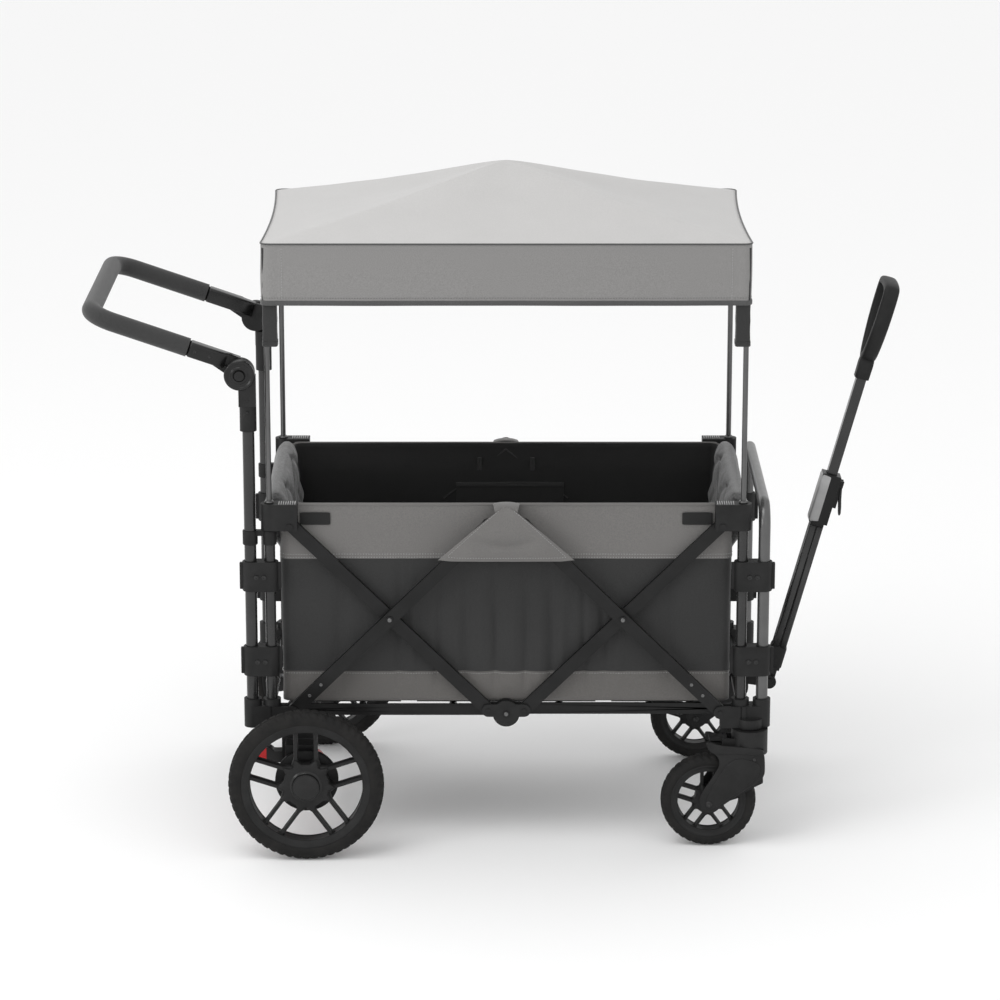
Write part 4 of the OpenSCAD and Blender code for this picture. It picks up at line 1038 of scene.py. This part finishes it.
def wheel_trim(name, tyre_node, body, hub, spoke_gap, spoke_half, lip, deep):
    """Moulded covers over the plain rim: a lip round each edge, ten thin deep spokes in five pairs that
    flare at the rim and at the star, and the ten-pointed star itself."""
    low, high = box(tyre_node)
    centre, outer = (low + high) / 2, (high[2] - low[2]) / 2
    half = (high[1] - low[1]) / 2
    rim = rim_radius(outer)
    r, h, grids = rim / MM, half / MM, []
    for face in (-1, 1):
        profile = np.array([(r - lip, h - 9), (r - lip - 0.4, h - 5.4), (r - lip + 1.2, h - 3.8),
                            (r - 4, h - 3.0), (r - 1, h - 1.6), (r + 2.2, h - 1.2), (r + 3.2, h - 2.6),
                            (r + 1.2, h - 5), (r - 3, h - 7), (r - lip, h - 9)]) * MM
        profile[:, 1] *= face
        grids.append(lathe(profile, centre, 120))
    t = np.linspace(0, 1, 40)
    reach = hub * 0.8 + (rim - (lip - 1) * MM - hub * 0.8) * t
    wide = 1.25 * spoke_half * (1 + 1.3 * (1 - smooth_step(t, 0.0, 0.3)) + 0.9 * smooth_step(t, 0.9, 1))
    pairs = math.pi / 2 + TAU * np.arange(5) / 5
    for angle in pairs:
        ahead = np.array([math.cos(angle), 0, math.sin(angle)])
        beside = np.array([-math.sin(angle), 0, math.cos(angle)])
        for sign in (-1, 1):
            line = centre + np.outer(reach, ahead) + beside * sign * spoke_gap / 2
            depth = deep * (1 - 0.12 * np.sin(math.pi * t))
            grids.append(tube(line, np.stack([depth, wide], -1), beside, 20, False, 1.7))
    root = math.asin(spoke_gap / 2 / (hub * 1.2))
    roots = np.concatenate([pairs - root, pairs + root])
    grids.append(star(centre, roots, hub * 1.005, hub * 1.27, deep + 3.6 * MM))
    made = piece(name, grids, PLASTIC, body)
    return centre


for label, out in (("near", -1), ("far", 1)):
    centre = wheel_trim(f"rear_spokes_{label}", f"rear_tyre_{label}", f"rear_wheel_{label}",
                        42 * MM, 37 * MM, 3.4 * MM, 12.4, 9.8 * MM)
    cap = np.array([(0, 23.4), (13, 23.2), (14, 22.6), (22, 22.3), (24.8, 20.5), (25.6, 17),
                    (26, 14.5), (29, 14.2), (31, 12)]) * MM
    cap[:, 1] *= out
    cover = piece(f"rear_hub_cap_{label}", [lathe(cap, centre, 80)], PLASTIC_GLOSS, f"rear_wheel_{label}")
    ring_low, ring_high = box(f"rear_rim_{label}")
    inner_y = float(ring_high[1]) if out < 0 else float(ring_low[1])
    # Painted shade: a thin black disc just inside the rim's inner face, behind the spokes, darkens the
    # wheel's inside round the hub.
    shade = np.array([(27, 9.1), (58, 9.1), (59, 9.7), (58, 10.3), (27, 10.3)]) * MM
    shade[:, 1] *= out
    painted_shade_piece = piece(f"painted_shade_disc_{label}",
                       [lathe(shade, (centre[0], inner_y, centre[2]), 80)], PLASTIC, f"rear_wheel_{label}")
    wheel_trim(f"caster_spokes_{label}", f"caster_tyre_{label}", f"caster_wheel_{label}",
               26 * MM, 24 * MM, 2.9 * MM, 10.4, 8.6 * MM)

# %% [markdown]
# ## Moulded covers
# Several mouldings are plates with a drawn outline and softly rounded edges. One helper makes them
# from a list of corners: it cuts the corners into curves and rolls the edge over. The other covers
# are lathes and tubes, placed along the leaning handles.

# %% Fork covers and screws
def screw_head(centre, out, radius):
    """A round head with a ring-shaped recess, facing along Y."""
    outline = np.array([(0, 0.3), (0.3, 0.3), (0.42, 1.1), (0.78, 1.0), (0.96, 0.5), (1.0, -0.8)])
    profile = outline * [radius, 1 * MM]
    profile[:, 1] *= out
    return lathe(profile, centre, 24)


def plate(corners, low, high, middle, roll, rounds=3):
    """A closed plate in the XZ plane from y = low to y = high, whose faces fan out from middle. Its
    rolled edge insets the outline along its normals by a quarter circle."""
    line = chaikin(corners, rounds)
    along = np.roll(line, -1, 0) - np.roll(line, 1, 0)
    normal = np.stack([along[:, 1], -along[:, 0]], -1)
    normal /= np.linalg.norm(normal, axis=1, keepdims=True) + 1e-12
    area = np.sum(line[:, 0] * np.roll(line[:, 1], -1) - np.roll(line[:, 0], -1) * line[:, 1])
    normal *= 1 if area > 0 else -1
    turn = np.linspace(0, math.pi / 2, 5)
    heart = np.asarray(middle) * MM
    rows = [(heart + (line - heart) * 0.02, low)]
    rows += [(line - normal * roll * (1 - math.sin(a)), low + roll * (1 - math.cos(a))) for a in turn]
    rows += [(line - normal * roll * (1 - math.cos(a)), high - roll * (1 - math.sin(a))) for a in turn]
    rows += [(heart + (line - heart) * 0.02, high)]
    grid = [np.stack([flat[:, 0], np.full(len(flat), y), flat[:, 1]], -1) for flat, y in rows]
    return np.stack(grid), False, True


# Outlines on the caster fork in mm, (forwards, upwards) from the wheel's centre.
CHEEK = [(-2, 104), (14, 96), (20, 80), (12, 62), (-14, 22), (-19, 6), (-16, -9), (-4, -17), (9, -15),
         (24, -5), (60, 22), (88, 41), (104, 54), (104, 80), (102, 102), (94, 109), (55, 108), (10, 108)]
FORK_LIP = [(-8, 121), (4, 122), (16, 116), (55, 113), (97, 109), (103, 100), (97, 95), (60, 99),
            (30, 99), (8, 100), (-1, 104)]
RAISED = [(-9, 0), (-3, -10), (8, -9), (24, 1), (60, 28), (84, 46), (96, 60), (96, 80), (62, 92),
          (38, 84), (26, 70), (4, 32)]
for label in ("near", "far"):
    tyre_low, tyre_high = box(f"caster_tyre_{label}")
    fork_low, fork_high = box(f"caster_fork_{label}")
    hub = (tyre_low + tyre_high) / 2
    covers, bolts = [], []
    for face in (-1, 1):
        reach = 21 * MM + (fork_high[1] - fork_low[1] - 42 * MM) / 2 - 3.2 * MM
        inner, outer = face * (reach - 1.5 * MM), face * (reach + 2.4 * MM)
        for corners, start, stop, middle, roll in (
                (CHEEK, inner, outer, (50, 88), 1.6 * MM),
                (FORK_LIP, inner, outer + face * 2.2 * MM, (20, 107), 1.6 * MM),
                (RAISED, outer - face * 1 * MM, outer + face * 1.5 * MM, (50, 60), 1.4 * MM)):
            shape, rows, columns = plate(np.array(corners) * MM, *sorted((start, stop)), middle, roll)
            covers.append((shape + hub, rows, columns))
        bolts.append(screw_head(hub + [0, outer + face * 1.9 * MM, 0], face, 6 * MM))
        bolts.append(screw_head(hub + [84 * MM, outer + face * 0.4 * MM, 88 * MM], face, 3.6 * MM))
    cover = piece(f"fork_cover_{label}", covers, PLASTIC, f"caster_{label}")
    piece(f"fork_bolts_{label}", bolts, SCREW, f"caster_{label}")

# %% Handle covers
def turned(points, origin, degrees):
    """Points given along a leaning part, (along its own X, Y, along its own Z) in mm, turned about Y."""
    points, angle = np.asarray(points, float) * MM, math.radians(degrees)
    x, z = points[..., 0], points[..., 2]
    return np.stack([origin[0] + x * math.cos(angle) + z * math.sin(angle), origin[1] + points[..., 1],
                     origin[2] - x * math.sin(angle) + z * math.cos(angle)], -1)


button_low, button_high = box("hub_button_near")
HINGE = np.array([(button_low[0] + button_high[0]) / 2, 0, (button_low[2] + button_high[2]) / 2])
face = float(-button_low[1]) - 5 * MM
arms, rings, heads = [], [], []
ring = np.array([(10.3, -0.6), (10.5, 1.2), (11.3, 1.9), (14.6, 1.9), (15.5, 1.2), (16.2, 0.3),
                 (21.5, 0.3), (22.6, 1.6), (25.2, 2.3), (27.6, 1.3), (28.3, -1), (28.3, -3.5)]) * MM
for side in (-1, 1):
    along = np.array([(-104, 237, 13, 13), (-101.6, 237, 13.2, 13.2), (-101.4, 237, 14.2, 14.2),
                      (-99, 237, 14.6, 14.6), (-37, 237, 14.6, 14.6), (-32, 234.4, 11.2, 14.6),
                      (-8, 234.4, 11.2, 14.2)])
    path = turned(np.stack([along[:, 0], side * along[:, 1], np.full(7, 13.6)], -1), HINGE, 19)
    arms.append(tube(path, along[:, 2:] * MM, (0, 0, 1), 40, False, 6))
    for x in (-90, -62):
        spot = turned(np.array([x, side * 251.4, 13]), HINGE, 19)
        heads.append(screw_head(spot, side, 3.4 * MM))
    profile = ring.copy()
    profile[:, 1] = side * (profile[:, 1] + face)
    rings.append(lathe(profile, HINGE, 72))
    for drop in (47, 70):
        rings.append(screw_head(HINGE + [14 * MM, side * (face - 0.2 * MM), -drop * MM], side, 2.6 * MM))
piece("handle_covers", arms, PLASTIC_GLOSS, "push_handle")
piece("handle_screws", heads, SCREW, "push_handle")
piece("hinge_covers", rings, PLASTIC_GLOSS, "rear_frame")

# %% Pull handle fittings
outer_low = box("pull_outer_tube")[0]
PULL = np.array([outer_low[0] + 12 * MM, 0, outer_low[2] + 12 * MM])
LEAN = 15.4


def along_pull(stations, sideways=0.0):
    """Stations (height, own x) in mm on the leaning pull handle, as a path."""
    stations = np.asarray(stations, float)
    points = np.stack([stations[:, 1], np.full(len(stations), sideways), stations[:, 0]], -1)
    return turned(points, PULL, LEAN)


insert = tube(along_pull([(332, -9.2), (334, -9.6), (421, -9.6), (424, -9.2)]),
              np.array([(18.4, 9.2), (19, 10), (19, 10), (18.4, 9.2)]) * MM, (1, 0, 0), 40, False, 7)
piece("collar_insert", [insert], COLLAR, "pull_handle")
rails = [tube(along_pull([(48, x), (322, x)], y), (2.6 * MM, 6.1 * MM), (1, 0, 0), 24, False, 4)
         for x in (-6.6, 6.6) for y in (-13, 13)]
socket = tube(along_pull([(30, 0), (32, 0), (70, 0), (74, 0)]),
              np.array([(14.5, 14), (16, 15.5), (16, 15.5), (14.8, 14.2)]) * MM,
              (1, 0, 0), 40, False, 6)
piece("pull_rails", rails, TUBES, "pull_handle")
piece("pull_socket", [socket], PLASTIC, "pull_handle")
trigger = tube(along_pull([(408, 24), (396, 26), (382, 29), (368, 33), (356, 36), (352, 36.5)]),
               np.array([(5, 2.5), (6, 3), (6.4, 3.2), (6.6, 3.2), (6.4, 2.8), (5, 1.5)]) * MM,
               (1, 0, 0), 24, False, 4)
piece("latch_trigger", [trigger], PLASTIC_GLOSS, "pull_latch")

# %% Rivets and cap ribs
rivet_x, rivet_z, rivet_y = 216.7 * MM, 442 * MM, float(box("rear_low_arms")[1][1])
for end, body in ((-1, "rear_low_arms"), (1, "front_low_arms")):
    heads = []
    for side in (-1, 1):
        heads.append(screw_head(np.array([MID_X + end * rivet_x, side * rivet_y, rivet_z]), side, 4.2 * MM))
        for run in (46, 76):
            spot = [MID_X + end * (400 - 0.7134 * run) * MM, side * (rivet_y - 2.5 * MM),
                    (262 + 0.7007 * run) * MM]
            heads.append(screw_head(np.array(spot), side, 3.4 * MM))
    piece(f"rivets_{end + 2}", heads, RIVET, body)
for end, body in (("rear", "rear_top_caps"), ("front", "front_top_caps")):
    low, high = box(f"{end}_caps")
    inner_x = float(high[0]) if end == "rear" else float(low[0])
    inward = -1 if end == "rear" else 1
    fins = []
    for side in (-1, 1):
        for step in range(8):
            x = inner_x + inward * (4 + 4.2 * step) * MM
            line = [(x, side * (high[1] - back * MM), high[2] + 0.4 * MM) for back in (7, 27)]
            fins.append(tube(line, (1.1 * MM, 1.3 * MM), (0, 0, 1), 12, False, 3))
    # Painted highlight: the ribs take the light grey insert finish, which paints on the bright glints that
    # the black caps' glossy ribs catch.
    piece(f"{end}_cap_ribs_painted_highlight", fins, COLLAR, body)
hub_y = box("bottom_hubs")[1][1]
heads = [screw_head(np.array([MID_X + x * MM, side * (hub_y - back * MM), z * MM]), side, 4 * MM)
         for side in (-1, 1) for x, z, back in ((-33.5, 262, 2.4), (33.5, 262, 2.4), (0, 256, 0))]
piece("hub_rivets", heads, RIVET, "bottom_hubs")

# %% Boards under the basket
boards = []
for start, stop in ((-395, -198), (-168, -58), (-51, 51), (58, 168), (198, 395)):
    line = [(MID_X + x * MM, 0, BASKET_FLOOR - 7.6 * MM) for x in np.linspace(start, stop, 24)]
    boards.append(tube(line, (203 * MM, 2.1 * MM), (0, 0, 1), 40, False, 14))
board = piece("floor_boards", boards, CLOTH_BLACK, "rear_top_caps")
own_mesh(board)

# %% Pull grip
def grip_path():
    """The D's centre line in the grip's own plane: corners in mm, rounded by four Chaikin rounds."""
    line = chaikin([(-7, 664), (7, 664), (26, 684), (48, 738), (51, 800), (38, 810), (-38, 810),
                    (-51, 800), (-48, 738), (-26, 684)], 4)
    return turned(np.stack([np.zeros(len(line)), line[:, 0], line[:, 1]], -1), PULL, LEAN)


own_x = (math.cos(math.radians(LEAN)), 0, -math.sin(math.radians(LEAN)))
loop = tube(grip_path(), (8.4 * MM, 14.5 * MM), own_x, 36, True, 3.4)
neck = tube(along_pull([(621, 0), (622, 0), (650, 0), (668, 0)]),
            np.array([(12.6, 13), (13.6, 14), (14.2, 14.4), (12, 13)]) * MM, (1, 0, 0), 40, False, 6)
GRIP = piece("pull_loop_grip", [loop, neck], PLASTIC, "pull_inner")
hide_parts("pull_grip")

# %% [markdown]
# ## Finishes for the machined pieces
# The remaining solids are the right shape already. Their sharp edges get a small bevel, after a
# weld that joins the loose triangles, so that the light catches them as it does on a moulding.

# %% Paint the machined pieces
def finish_nodes(material, bevel, *names):
    """Puts one finish on several solids, and rounds their edges if bevel isn't zero."""
    for name in names:
        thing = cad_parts[name]
        if not thing.material_slots:
            thing.data.materials.append(material)
        for place in thing.material_slots:
            place.material = material
        if bevel:
            modifier(thing, "WELD", merge_threshold=0.01 * MM)
            modifier(thing, "BEVEL", width=bevel, segments=2, limit_method="ANGLE",
                     angle_limit=math.radians(38), harden_normals=False)


finish_nodes(TUBES, 0, "rear_posts", "front_posts", "push_handle_legs", "rear_cross_tube", "push_tube")
finish_nodes(COATED, 0.8 * MM, "rear_low_arms", "rear_high_arms", "front_low_arms", "front_high_arms",
             "rear_floor_rails", "front_floor_rails", "pull_outer_tube", "front_cross_tube")
finish_nodes(LOOP, 0, "front_loop")
finish_nodes(SCREW, 0.3 * MM, "rear_screws", "front_screws")
finish_nodes(BARE, 0.3 * MM, "rear_axle", "brake_pin_near", "brake_pin_far",
             "rear_top_tubes", "front_top_tubes")
finish_nodes(TUBES, 0.8 * MM, "pull_inner_tube")
finish_nodes(PLASTIC, 1.2 * MM, "rear_clamps", "front_clamps", "rear_corner_blocks",
             "front_corner_blocks", "axle_struts", "handle_sleeves", "handle_arms", "rear_caps",
             "front_caps", "top_hubs", "bottom_hubs", "caster_fork_near", "caster_fork_far",
             "swivel_lock_near", "swivel_lock_far", "pull_latch")
finish_nodes(PLASTIC, 0, "rear_rim_near", "rear_rim_far", "caster_rim_near", "caster_rim_far")
finish_nodes(PLASTIC_GLOSS, 0.8 * MM, "hub_button_near", "hub_button_far")
finish_nodes(FOAM, 0, "push_grip")
finish_nodes(PEDALS, 1.0 * MM, "brake_pedals")
print("solids finished")

# %% [markdown]
# ## Floor and light
# A wide pale floor and a bright even sky give the soft shadow under the wagon. One broad lamp
# overhead, a weak one from the front and a small one from the left model the cloth.

# %% Floor and light
floor_finish = Finish("floor", Base_Color=(0.9, 0.9, 0.9, 1), Roughness=0.9)
floor_corners = np.array([[[-40, -20, 0], [-40, 60, 0]], [[40, -20, 0], [40, 60, 0]]], float)
floor = piece("floor", [(floor_corners, False, False)], floor_finish.material, None, smooth=False)


def lamp(name, size, watts, place, aim):
    """A square area lamp that points from place to aim."""
    data = bpy.data.lights.new(name, "AREA")
    data.size = size
    data.energy = watts
    made = bpy.data.objects.new(name, data)
    made.location = place
    away = np.array(aim, float) - np.array(place, float)
    flat = math.hypot(away[0], away[1])
    made.rotation_euler = (math.atan2(flat, -away[2]), 0, math.atan2(away[1], away[0]) - math.pi / 2)
    bpy.context.scene.collection.objects.link(made)
    return made


lamp("overhead", 2.2, 42, (-1.4, -1.6, 4.2), (0, 0, 0.5))
lamp("front_fill", 3.0, 8, (1.8, -5.0, 2.2), (0, 0, 0.6))
lamp("left_strip", 1.2, 30, (-3.6, -3.2, 2.0), (0, 0, 0.6))
world = bpy.data.worlds.new("studio")
world.use_nodes = True
world.node_tree.nodes["Background"].inputs["Color"].default_value = (1, 1, 1, 1)
world.node_tree.nodes["Background"].inputs["Strength"].default_value = 1.02
bpy.context.scene.world = world
bpy.context.scene.view_settings.view_transform = "Standard"
